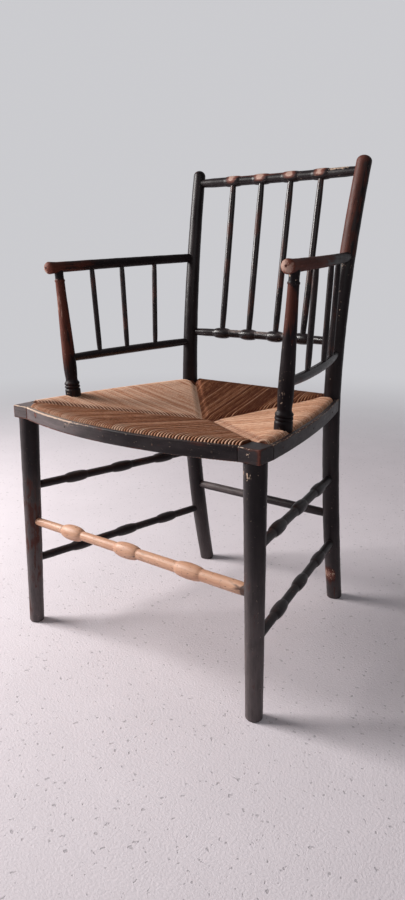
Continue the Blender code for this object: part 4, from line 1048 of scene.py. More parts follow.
    def rail_point(self, side: Side, share: float) -> Vector:
        """The axis of the rail below an arm, from its support to its post."""
        base, top = self.support_ends(side)
        start = base.lerp(top, (self.rail_heights[0] - base.z) / (top.z - base.z))
        place = start.lerp(self.layout.post(side, self.rail_heights[1]), share)
        place.x += side.value * self.rail_bow[side] * 4 * share * (1 - share)
        return place

    def lower_rail(self, side: Side, finishes: Finishes) -> bpy.types.Object:
        """One rail below an arm, plain and a little fuller in the middle."""
        count = 92
        shares = [blend(0.022, 0.972, index / count) for index in range(count + 1)]
        axis = [self.rail_point(side, share) for share in shares]
        radii = [self.rail_radius * blend(0.9, 1.0, min(soft_step(0.0, 0.2, s), soft_step(1.0, 0.8, s)))
                 for s in shares]

        def rule(place: Vector, outwards: Vector, distance: float) -> Marks:
            patch = noise.noise(place * 45.0)
            front = soft_step(0.13, 0.0, distance)
            return 0.14 + 0.14 * patch + 0.14 * front, 0.03, 0.04
        bar = RoundBar(f"painted_arm_rail_{side.word}", axis, radii, rule, sides=28, seed=29 + side.value)
        return settle(bar.build(finishes.stick_paint), Slot.PAINT, f"arm_lower_rail_{side.word}")

    def spindle_lines(self, side: Side) -> list[tuple[Vector, Vector]]:
        """Both ends of each spindle between an arm and its rail."""
        length = self.length(side)
        span = (self.rail_point(side, 1.0) - self.rail_point(side, 0.0)).length
        return [(self.rail_point(side, low / span), self.layout.arm(side, high / length))
                for low, high in zip(self.below[side], self.above[side])]

    def build(self, finishes: Finishes, spindles: "Spindles") -> None:
        """Makes both arms with all that carries them."""
        for side in Side:
            self.arm(side, finishes)
            self.support(side, finishes)
            self.lower_rail(side, finishes)
            names = [f"arm_spindle_{side.word}_{number}" for number in (1, 2, 3)]
            spindles.build(f"arm_spindles_{side.word}", self.spindle_lines(side), self.spindle_radius,
                           names, finishes)


class GeometryTree(NodeTree):
    """A short way to lay out a Geometry Nodes tree with named inputs."""

    def __init__(self, name: str) -> None:
        """Starts a tree that takes and returns geometry."""
        self.tree = bpy.data.node_groups.new(name, "GeometryNodeTree")
        super().__init__(self.tree)
        self.tree.interface.new_socket("Geometry", in_out="INPUT", socket_type="NodeSocketGeometry")
        self.tree.interface.new_socket("Geometry", in_out="OUTPUT", socket_type="NodeSocketGeometry")
        self.names: dict[str, str] = {}
        self.entry = self.tree.nodes.new("NodeGroupInput")
        self.leaving = self.tree.nodes.new("NodeGroupOutput")

    def input(self, name: str, kind: str) -> None:
        """Adds a named input of a kind such as Float, Int, Vector or Material."""
        socket = self.tree.interface.new_socket(name, in_out="INPUT", socket_type=f"NodeSocket{kind}")
        self.names[name] = socket.identifier

    def read(self, name: str) -> bpy.types.NodeSocket:
        """The inside end of a named input."""
        return next(item for item in self.entry.outputs if item.name == name)

    def add(self, kind: str, settings: dict[str, object] | None = None, **inputs: object) -> bpy.types.Node:
        """Adds a node, with its properties and its inputs by name, underscores for spaces.

        Args:
            kind: The node's type.
            settings: Properties of the node itself.
            inputs: Values or sockets for its inputs.

        Returns:
            The node.
        """
        node = self.tree.nodes.new(kind)
        for key, value in (settings or {}).items():
            setattr(node, key, value)
        for key, value in inputs.items():
            wanted = key.replace("_", " ")
            socket = next(item for item in node.inputs if item.name == wanted and item.enabled)
            self.put(socket, value)
        return node

    def named(self, name: str, kind: str = "FLOAT") -> bpy.types.NodeSocket:
        """Reads a stored attribute."""
        return self.add("GeometryNodeInputNamedAttribute", {"data_type": kind}, Name=name).outputs[0]

    def store(self, geometry: bpy.types.NodeSocket, name: str, value: bpy.types.NodeSocket,
              kind: str = "FLOAT", domain: str = "POINT") -> bpy.types.NodeSocket:
        """Stores a named attribute."""
        node = self.tree.nodes.new("GeometryNodeStoreNamedAttribute")
        node.data_type = kind
        node.domain = domain
        node.inputs["Name"].default_value = name
        self.put(node.inputs["Geometry"], geometry)
        self.put(next(item for item in node.inputs if item.name == "Value" and item.enabled), value)
        return node.outputs[0]

    def close(self, geometry: bpy.types.NodeSocket) -> None:
        """Ends the tree in Realize Instances and Set Material."""
        real = self.add("GeometryNodeRealizeInstances", Geometry=geometry)
        dressed = self.add("GeometryNodeSetMaterial", Geometry=real.outputs[0], Material=self.read("Material"))
        self.put(self.leaving.inputs[0], dressed.outputs[0])

    def run(self, name: str, source: bpy.types.ID, values: dict[str, object]) -> bpy.types.Object:
        """Runs the tree on a curve or mesh and returns the result as a plain mesh object.

        Args:
            name: The new object's name.
            source: The curve or mesh data to start from.
            values: A value for each named input.

        Returns:
            The new object, at the origin.
        """
        carrier = placed(name + "_lines", source)
        modifier = carrier.modifiers.new("grow", "NODES")
        modifier.node_group = self.tree
        for key, value in values.items():
            modifier[self.names[key]] = value
        graph = bpy.context.evaluated_depsgraph_get()
        mesh = bpy.data.meshes.new_from_object(carrier.evaluated_get(graph))
        mesh.name = name
        bpy.data.objects.remove(carrier, do_unlink=True)
        return placed(name, mesh)


def line_curve(name: str, lines: Sequence[Sequence[Vector]],
               worn: Callable[[Vector], float] | None = None) -> bpy.types.Curve:
    """A curve with one open straight-sided spline for each line of points.

    Args:
        name: The curve's name.
        lines: The points of each spline.
        worn: A value for each place, kept as the points' radius.

    Returns:
        The curve.
    """
    curve = bpy.data.curves.new(name, "CURVE")
    curve.dimensions = "3D"
    for line in lines:
        spline = curve.splines.new("POLY")
        spline.points.add(len(line) - 1)
        spline.points.foreach_set("co", [part for point in line for part in (*point, 1.0)])
        if worn is not None:
            spline.points.foreach_set("radius", [worn(point) for point in line])
    return curve


class Spindles:
    """Plain tapered sticks grown along lines by Geometry Nodes."""

    def __init__(self) -> None:
        """Builds the tree once."""
        tree = GeometryTree("tapered_sticks")
        for name, kind in (("Radius", "Float"), ("End Share", "Float"), ("Step", "Float"),
                           ("Sides", "Int"), ("Rubbing", "Float"), ("Material", "Material")):
            tree.input(name, kind)
        resampled = tree.add("GeometryNodeResampleCurve", {"mode": "LENGTH"},
                             Curve=tree.read("Geometry"), Length=tree.read("Step"))
        spline = tree.add("GeometryNodeSplineParameter")
        index = tree.add("GeometryNodeCurveOfPoint").outputs["Curve Index"]
        offset = tree.math("MULTIPLY", index, 0.731)
        along = tree.math("ADD", spline.outputs["Length"], offset)
        curve = tree.store(resampled.outputs[0], "along", along)
        share = spline.outputs["Factor"]
        edge = tree.math("MINIMUM", share, tree.math("SUBTRACT", 1.0, share))
        rise = tree.ranged(edge, 0.0, 0.16, tree.read("End Share"), smooth=True)
        radius = tree.math("MULTIPLY", rise, tree.read("Radius"))
        curve = tree.store(curve, "thick", radius)
        profile = tree.add("GeometryNodeCurvePrimitiveCircle", Resolution=tree.read("Sides"), Radius=1.0)
        position = tree.add("GeometryNodeInputPosition").outputs[0]
        ring = tree.store(profile.outputs["Curve"], "around", position, "FLOAT_VECTOR")
        skin = tree.add("GeometryNodeCurveToMesh", Curve=curve, Profile_Curve=ring, Scale=radius,
                        Fill_Caps=True)
        split = tree.add("ShaderNodeSeparateXYZ", Vector=tree.named("around", "FLOAT_VECTOR"))
        joined = tree.add("ShaderNodeCombineXYZ", Z=tree.named("along"))
        for axis in "XY":
            tree.put(joined.inputs[axis], tree.math("MULTIPLY", split.outputs[axis], 0.0045))
        mesh = tree.store(skin.outputs[0], "grain", joined.outputs[0], "FLOAT_VECTOR")
        patch = tree.add("ShaderNodeTexNoise", Vector=joined.outputs[0], Scale=17.0, Detail=1.0)
        worn = tree.ranged(patch.outputs["Fac"], 0.35, 0.7)
        rubbed = tree.math("MULTIPLY_ADD", worn, tree.read("Rubbing"), 0.08)
        marks = tree.add("FunctionNodeCombineColor", Red=rubbed, Green=0.04, Blue=0.10)
        mesh = tree.store(mesh, "marks", marks.outputs[0], "FLOAT_COLOR")
        smooth = tree.add("GeometryNodeSetShadeSmooth", Geometry=mesh)
        tree.close(smooth.outputs[0])
        self.tree = tree

    def build(self, name: str, lines: Sequence[tuple[Vector, Vector]], radius: float,
              nodes: Sequence[str], finishes: Finishes, rubbing: float = 0.5) -> bpy.types.Object:
        """Grows one set of sticks.

        Args:
            name: The piece's name.
            lines: Both ends of each stick.
            radius: The radius in the middle.
            nodes: The solids that the piece stands for.
            finishes: The chair's materials.
            rubbing: How far the paint is rubbed through in patches.

        Returns:
            The finished piece.
        """
        values = {"Radius": radius, "End Share": 0.86, "Step": 0.004, "Sides": 24,
                  "Rubbing": rubbing, "Material": finishes.stick_paint}
        piece = self.tree.run(name, line_curve(name, lines), values)
        return settle(piece, Slot.PAINT, *nodes)


@dataclass
class ChairBack:
    """The beaded crest rail and lower rail, with four spindles between their beads."""

    layout: Layout
    crest_z: float = 0.8310
    crest_bow: float = 0.0082
    crest_radius: float = 0.0088
    crest_bead: float = 0.0104
    crest_pitch: float = 0.0657
    lower_z: float = 0.5335
    lower_bow: float = 0.0125
    lower_radius: float = 0.0078
    lower_bead: float = 0.0110
    lower_pitch: float = 0.0628
    bead_half: float = 0.017
    spindle_radius: float = 0.0062
    count: int = 4

    def bead_places(self, pitch: float) -> list[float]:
        """Where the beads stand along X."""
        return [(index - (self.count - 1) / 2) * pitch for index in range(self.count)]

    def rail(self, name: str, z: float, bow: float, rod: float, bead: float, pitch: float,
             rule: MarkRule, finish: bpy.types.Material) -> bpy.types.Object:
        """One rail with its beads."""
        reach = self.layout.post(Side.RIGHT, z).x - 0.009
        stations = stations_for(2 * reach, 0.0016)
        places = [station - reach for station in stations]
        beads = self.bead_places(pitch)
        axis = [self.layout.back_rail(z, bow, x) for x in places]
        radii = []
        for x in places:
            swell = bead_swell(x, beads, self.bead_half)
            ends = soft_step(reach, reach - 0.03, abs(x))
            radii.append(blend(rod * 0.90, rod, ends) + (bead - rod) * swell)
        bar = RoundBar(name, axis, radii, rule, sides=36, seed=41)
        return bar.build(finish)

    def crest_marks(self, place: Vector, outwards: Vector, distance: float) -> Marks:
        """Each bead is rubbed to tan; the rod is brown between the left three and flaked at the right; the pale tops
        are partly wear and partly a painted highlight.
        """
        beads = self.bead_places(self.crest_pitch)
        near = max(bump_at(bead, self.bead_half * 1.15, place.x) for bead in beads)
        lit = soft_step(-0.35, 0.75, outwards.z - outwards.y * 0.45)
        top = soft_step(0.2, 0.9, outwards.z)
        patch = noise.noise(place * 60.0)
        between = soft_step(beads[0], beads[0] + 0.01, place.x) * soft_step(beads[2], beads[2] - 0.01, place.x)
        scratch = noise.noise(Vector((place.x * 45.0, place.y * 500.0, place.z * 500.0)))
        right = soft_step(beads[3] + 0.012, beads[3] + 0.022, place.x) * soft_step(0.165, 0.150, place.x)
        # The lit and top terms lighten the upper side: partly real rubbing, partly a painted highlight.
        wear = 0.14 + 1.36 * near * lit + 0.10 * patch + 0.55 * between * top * (1 - near)
        return wear, 0.04 + 0.62 * right * top + 0.3 * right * top * scratch, 0.04

    def lower_marks(self, place: Vector, outwards: Vector, distance: float) -> Marks:
        """Nearly whole, with a pale line on top between the beads, partly bloom and partly a painted highlight."""
        swell = bead_swell(place.x, self.bead_places(self.lower_pitch), self.bead_half)
        patch = noise.noise(place * 60.0)
        top = soft_step(0.55, 0.95, outwards.z - outwards.y * 0.3)
        # The dash on top is partly grey bloom and partly a painted highlight.
        dash = top * (1 - swell) * soft_step(0.10, 0.07, abs(place.x))
        return 0.10 + 0.14 * swell + 0.12 * patch, 0.04 + 0.30 * dash, 0.04 + 1.1 * dash

    def build(self, finishes: Finishes, spindles: Spindles) -> None:
        """Makes the rails and the spindles."""
        crest = self.rail("beaded_crest_rail", self.crest_z, self.crest_bow, self.crest_radius,
                          self.crest_bead, self.crest_pitch, self.crest_marks, finishes.paint)
        settle(crest, Slot.PAINT, "crest_rail")
        lower = self.rail("beaded_lower_rail", self.lower_z, self.lower_bow, self.lower_radius,
                          self.lower_bead, self.lower_pitch, self.lower_marks, finishes.stick_paint)
        settle(lower, Slot.PAINT, "lower_back_rail")
        pairs = zip(self.bead_places(self.lower_pitch), self.bead_places(self.crest_pitch))
        lines = [(self.layout.back_rail(self.lower_z, self.lower_bow, low),
                  self.layout.back_rail(self.crest_z, self.crest_bow, high)) for low, high in pairs]
        names = [f"back_spindle_{number + 1}" for number in range(self.count)]
        spindles.build("back_spindles", lines, self.spindle_radius, names, finishes, 0.62)


@dataclass
class Stretchers:
    """The beaded stretchers between the legs, and the plain one at the back."""

    layout: Layout
    front_z: float = 0.2084
    front_rods: tuple[float, float] = (0.0074, 0.0104)
    front_beads: tuple[float, ...] = (0.0137, 0.0134, 0.0130)
    front_pitch: float = 0.1330
    front_shift: float = -0.006
    front_half: float = 0.024
    heights: dict[str, tuple[float, float]] = field(default_factory=lambda: {
        "upper": (0.2755, 0.2720), "lower": (0.1294, 0.1340)})
    side_rod: float = 0.0077
    side_bead: float = 0.0106
    side_pitch: float = 0.1070
    side_shift: float = 0.004
    side_half: float = 0.023
    back_z: float = 0.1931
    back_rod: float = 0.0084
    hide: float = 0.004

    def stretcher(self, name: str, ends: tuple[Vector, Vector], rods: tuple[float, float],
                  beads: Sequence[tuple[float, float]], half: float, rule: MarkRule,
                  finish: bpy.types.Material, seed: int = 51) -> bpy.types.Object:
        """One straight turned stretcher.

        Args:
            name: The piece's name.
            ends: Its ends, on the axes of the legs.
            rods: The rod's radius at both ends.
            beads: Each bead's place, counted from the middle, and its radius.
            half: Half a bead's length.
            rule: Its wear, with any painted light.
            finish: Its material.
            seed: Moves the unevenness.

        Returns:
            The new object.
        """
        length = (ends[1] - ends[0]).length
        stations = [station + self.hide for station in stations_for(length - 2 * self.hide, 0.0017)]
        radii = []
        for station in stations:
            rod = blend(rods[0], rods[1], station / length)
            slim = blend(0.9, 1.0, soft_step(0.0, 0.035, min(station, length - station)))
            swells = [(bead - rod) * bead_swell(station - length / 2, [place], half) for place, bead in beads]
            radii.append(rod * slim + max(swells, default=0.0))
        bar = RoundBar(name, straight_axis(ends[0], ends[1], stations), radii, rule, sides=36, seed=seed)
        return bar.build(finish)

    def front(self, finishes: Finishes) -> None:
        """The front stretcher, stripped to bare wood, with dark paint left at its ends and beads, and painted shade
        on its underside.
        """
        places = [self.front_shift + index * self.front_pitch for index in (-1, 0, 1)]

        def rule(place: Vector, outwards: Vector, distance: float) -> Marks:
            patch = noise.noise(place * 70.0)
            rings = max(bump_at(spot + self.front_half * end, 0.0035, place.x)
                        for spot in places for end in (-1, 1))
            right_end = 0.8 * soft_step(0.228, 0.236, place.x) + 0.2 * soft_step(0.205, 0.23, place.x)
            left_end = 0.1 * soft_step(-0.222, -0.235, place.x)
            # The under term darkens the underside: painted shade.
            under = soft_step(0.3, 1.0, -outwards.z)
            residue = 0.22 * rings + 0.16 * patch + right_end + left_end + 0.10 * under
            return residue, 0.08 + 0.10 * rings, 0.0
        ends = (self.layout.leg(Side.LEFT, self.front_z), self.layout.leg(Side.RIGHT, self.front_z))
        piece = self.stretcher("bare_front_stretcher", ends, self.front_rods,
                               list(zip(places, self.front_beads)), self.front_half, rule, finishes.bare)
        settle(piece, Slot.BARE, "front_stretcher")

    def sides(self, finishes: Finishes) -> None:
        """Two side stretchers on each side, evenly rubbed, with a little bloom on top."""
        beads = [(self.side_shift + index * self.side_pitch, self.side_bead) for index in (-1, 0, 1)]

        def rule(place: Vector, outwards: Vector, distance: float) -> Marks:
            patch = noise.noise(place * 50.0)
            top = soft_step(0.2, 0.9, outwards.z)
            return 0.16 + 0.14 * patch + 0.04 * top, 0.03, 0.06 + 0.10 * top
        for level, (front_z, back_z) in self.heights.items():
            for side in Side:
                name = f"side_stretcher_{level}_{side.word}"
                ends = (self.layout.leg(side, front_z), self.layout.post(side, back_z))
                piece = self.stretcher("painted_" + name, ends, (self.side_rod, self.side_rod), beads,
                                       self.side_half, rule, finishes.paint, seed=55 + side.value)
                settle(piece, Slot.PAINT, name)

    def back(self, finishes: Finishes) -> None:
        """The plain back stretcher, greyer on top of its left part, partly bloom and partly a painted highlight."""
        def rule(place: Vector, outwards: Vector, distance: float) -> Marks:
            patch = noise.noise(place * 45.0)
            left = soft_step(0.02, -0.05, place.x)
            # The grey on the left part's upper side is partly bloom and partly a painted highlight.
            return 0.18 + 0.12 * patch, 0.03, 0.05 + 0.75 * left * soft_step(-0.9, 0.4, outwards.z)
        ends = (self.layout.post(Side.LEFT, self.back_z), self.layout.post(Side.RIGHT, self.back_z))
        piece = self.stretcher("painted_back_stretcher", ends, (self.back_rod, self.back_rod), (), 0.02,
                               rule, finishes.paint, seed=61)
        settle(piece, Slot.PAINT, "back_stretcher")

    def build(self, finishes: Finishes) -> None:
        """Makes all six."""
        self.front(finishes)
        self.sides(finishes)
        self.back(finishes)


@dataclass
class SeatEdge:
    """The thin strips nailed round the seat, their nails, and the rails hidden in the weave."""

    layout: Layout
    thickness: float = 0.008
    height: float = 0.0225
    rounding: float = 0.0013
    gap: float = 0.0003
    nail_pitch: float = 0.095
    side_nails: tuple[float, ...] = (-0.14535, -0.01335, 0.11465)
    rail_z: float = 0.4185
    rail_inset: float = 0.0256

    def section(self) -> list[tuple[float, float]]:
        """The strip's rounded cross-section as (inwards, up) pairs, in order round it."""
        pairs = []
        corners = ((self.thickness, self.height), (0.0, self.height), (0.0, 0.0), (self.thickness, 0.0))
        for number, (inwards, up) in enumerate(corners):
            centre_in = min(max(inwards, self.rounding), self.thickness - self.rounding)
            centre_up = min(max(up, self.rounding), self.height - self.rounding)
            for step in range(4):
                angle = math.pi / 2 * (number + step / 3)
                pairs.append((centre_in + math.cos(angle) * self.rounding,
                              centre_up + math.sin(angle) * self.rounding))
        dense = []
        for (a_in, a_up), (b_in, b_up) in zip(pairs, pairs[1:] + pairs[:1]):
            steps = max(round(math.hypot(b_in - a_in, b_up - a_up) / 0.0016), 1)
            for step in range(steps):
                dense.append((blend(a_in, b_in, step / steps), blend(a_up, b_up, step / steps)))
        return dense

    def strip(self, name: str, faces: Sequence[Vector], inwards: Sequence[Vector], rule: MarkRule,
              finish: bpy.types.Material, seed: int) -> bpy.types.Object:
        """A strip whose outer face follows given points.

        Args:
            name: The piece's name.
            faces: Points on the lower edge of the outer face.
            inwards: At each point, the direction through the strip.
            rule: Its wear, with any painted light.
            finish: Its material.
            seed: Moves the unevenness.

        Returns:
            The new object.
        """
        section = self.section()
        shift = Vector((seed * 0.43, seed * 0.31, seed * 0.77))
        verts, grain, marks = [], [], []
        distance = 0.0
        for index, (face, inward) in enumerate(zip(faces, inwards)):
            distance += (face - faces[max(index - 1, 0)]).length
            for across, up in section:
                place = face + inward * across + Vector((0, 0, up))
                uneven = noise.noise(place * 60.0 + shift) + 0.5 * noise.noise(place * 190.0 + shift)
                centre = Vector((self.thickness / 2, self.height / 2))
                away = (Vector((across, up)) - centre)
                side_on = abs(away.x) / self.thickness > abs(away.y) / self.height
                outwards = inward * (math.copysign(1, away.x) if side_on else 0)
                outwards += Vector((0, 0, 0 if side_on else math.copysign(1, away.y)))
                verts.append(place + outwards * (0.00018 * uneven))
                grain.append(Vector((across, up, distance)) + shift)
                near_edge = (self.thickness / 2 - abs(away.x)) + (self.height / 2 - abs(away.y))
                facing = Vector((outwards.x, outwards.y, away.y / self.height))
                marks.append(rule(place, facing, near_edge))
        size = len(section)
        quads = []
        for ring in range(len(faces) - 1):
            for corner in range(size):
                after = (corner + 1) % size
                quads.append((ring * size + corner, ring * size + after,
                              (ring + 1) * size + after, (ring + 1) * size + corner))
        quads.append(tuple(reversed(range(size))))
        quads.append(tuple(range((len(faces) - 1) * size, len(faces) * size)))
        mesh = bpy.data.meshes.new(name)
        mesh.from_pydata(verts, [], quads)
        store_surface(mesh, grain, marks)
        shape = bmesh.new()
        shape.from_mesh(mesh)
        bmesh.ops.recalc_face_normals(shape, faces=shape.faces[:])
        shape.to_mesh(mesh)
        shape.free()
        return placed(name, mesh, finish, 45.0)

    def front_marks(self, place: Vector, outwards: Vector, near_edge: float) -> Marks:
        """Grey on the left, partly bloom and partly painted light, black on the right, and a pale top edge, partly
        worn and partly a painted highlight.
        """
        left = soft_step(0.03, -0.15, place.x)
        patch = noise.noise(Vector((place.x * 26, place.z * 90, 0.0)))
        edge = soft_step(0.0034, 0.0012, near_edge)
        upper = soft_step(0.0, 0.4, outwards.z)
        lower = soft_step(0.0, -0.4, outwards.z)
        spot = (Vector((-0.190, 0.4215)) - Vector((place.x, place.z))).length
        # The pale top edge is partly wear and partly a painted highlight.
        wear = 0.14 + 0.14 * patch + edge * (lower * (0.30 + 0.50 * left) + upper * (0.20 + 0.3 * left))
        wear += 0.9 * soft_step(0.007, 0.003, spot)
        chips = 0.04 + edge * upper * (0.10 + 0.72 * left)
        chips += 0.50 * bump_at(-0.085, 0.020, place.x) * bump_at(0.424, 0.006, place.z)
        # The grey on the left is partly bloom and partly painted light.
        bloom = 0.05 + 0.90 * left + 0.2 * patch
        return wear, chips, bloom

    def side_marks(self, place: Vector, outwards: Vector, near_edge: float) -> Marks:
        """Mostly black, with a thin rubbed line along the top edge."""
        patch = noise.noise(Vector((place.y * 26, place.z * 90, 3.0)))
        edge = soft_step(0.0034, 0.0012, near_edge)
        upper = soft_step(0.0, 0.4, outwards.z)
        return 0.12 + 0.14 * patch + 0.50 * edge * upper, 0.04 + 0.3 * edge * upper, 0.06 + 0.10 * patch

    def strips(self, finishes: Finishes) -> None:
        """The front strip between the blocks and the side strips back to the posts."""
        layout = self.layout
        low = layout.seat_z - self.height
        end = layout.block_inner_x - self.gap
        xs = [blend(-end, end, index / 180) for index in range(181)]
        faces = [Vector((x, layout.front_face(x), low)) for x in xs]
        front = self.strip("nailed_front_strip", faces, [Vector((0, 1, 0))] * len(xs),
                           self.front_marks, finishes.paint, 71)
        settle(front, Slot.PAINT, "edge_strip_front")
        for side in Side:
            start, stop = layout.block_back_y + self.gap, layout.post_y[1] - 0.0040
            ys = [blend(start, stop, index / 140) for index in range(141)]
            faces = [Vector((side.value * layout.side_face(y), y, low)) for y in ys]
            inwards = [Vector((-side.value, 0, 0))] * len(ys)
            piece = self.strip(f"nailed_side_strip_{side.word}", faces, inwards, self.side_marks,
                               finishes.paint, 73 + side.value)
            settle(piece, Slot.PAINT, f"edge_strip_{side.word}")

    def nails(self, finishes: Finishes) -> None:
        """Nail heads set on points by Geometry Nodes."""
        layout = self.layout
        places, directions, names = [], [], []
        for index in range(5):
            x = (index - 2) * self.nail_pitch
            slope = 2 * layout.front_bow * x / layout.block_inner_x ** 2
            places.append(Vector((x, layout.front_face(x), self.rail_z)))
            directions.append(Vector((slope, -1.0, 0.0)).normalized())
            names.append(f"strip_nail_front_{index + 1}")
        for side in Side:
            for number, y in enumerate(self.side_nails, start=1):
                lean = (layout.side_face(y + 0.01) - layout.side_face(y - 0.01)) / 0.02
                places.append(Vector((side.value * layout.side_face(y), y, self.rail_z)))
                directions.append(Vector((side.value, -lean, 0.0)).normalized())
                names.append(f"strip_nail_{side.word}_{number}")
        tree = GeometryTree("set_nails")
        for name, kind in (("Head Radius", "Float"), ("Head Height", "Float"), ("Material", "Material")):
            tree.input(name, kind)
        head = tree.add("GeometryNodeMeshUVSphere", Segments=14, Rings=8, Radius=1.0)
        stretch = tree.add("ShaderNodeCombineXYZ", X=tree.read("Head Radius"), Y=tree.read("Head Radius"),
                           Z=tree.read("Head Height"))
        turn = tree.add("FunctionNodeAlignRotationToVector", {"axis": "Z"},
                        Vector=tree.named("facing", "FLOAT_VECTOR"))
        copies = tree.add("GeometryNodeInstanceOnPoints", Points=tree.read("Geometry"),
                          Instance=head.outputs[0], Rotation=turn.outputs[0], Scale=stretch.outputs[0])
        real = tree.add("GeometryNodeRealizeInstances", Geometry=copies.outputs[0])
        smooth = tree.add("GeometryNodeSetShadeSmooth", Geometry=real.outputs[0])
        tree.close(smooth.outputs[0])
        points = bpy.data.meshes.new("nail_places")
        points.from_pydata(places, [], [])
        attribute = points.attributes.new("facing", "FLOAT_VECTOR", "POINT")
        attribute.data.foreach_set("vector", [part for direction in directions for part in direction])
        values = {"Head Radius": 0.0017, "Head Height": 0.0007, "Material": finishes.iron}
        settle(tree.run("strip_nails", points, values), Slot.IRON, *names)

    def hidden_rails(self, finishes: Finishes) -> None:
        """The four rails that the rush wraps, of which only glimpses show at the corners."""
        layout = self.layout

        def rule(place: Vector, outwards: Vector, distance: float) -> Marks:
            return 0.12, 0.05, 0.0

        def rail(name: str, axis: list[Vector], node: str) -> None:
            first, last = axis[0], axis[-1]
            radii = [0.0094 * blend(0.5, 1.0, min(min((p - first).length, (p - last).length) / 0.05, 1.0))
                     for p in axis]
            bar = RoundBar(name, axis, radii, rule, sides=16, seed=81)
            settle(bar.build(finishes.hidden), Slot.HIDDEN, node)
        xs = [blend(-0.23, 0.23, index / 40) for index in range(41)]
        front = [Vector((x, layout.front_face(x) + self.rail_inset, self.rail_z)) for x in xs]
        rail("hidden_front_rail", front, "front_seat_rail")
        back = [Vector((x * 0.68, layout.post_y[1], self.rail_z)) for x in xs]
        rail("hidden_back_rail", back, "back_seat_rail")
        ys = [blend(layout.block_back_y - 0.005, layout.post_y[1] - 0.010, index / 40) for index in range(41)]
        for side in Side:
            axis = []
            for y in ys:
                share = (y - layout.block_back_y) / (layout.post_y[1] - layout.block_back_y)
                x = blend(layout.block_face_x - self.rail_inset, layout.post_x[1] - 0.006, share)
                x += layout.side_bow * 4 * share * (1 - share)
                axis.append(Vector((side.value * x, y, self.rail_z)))
            rail(f"hidden_side_rail_{side.word}", axis, f"side_seat_rail_{side.word}")

    def build(self, finishes: Finishes) -> None:
        """Makes the strips, nails and rails."""
        self.strips(finishes)
        self.nails(finishes)
        self.hidden_rails(finishes)


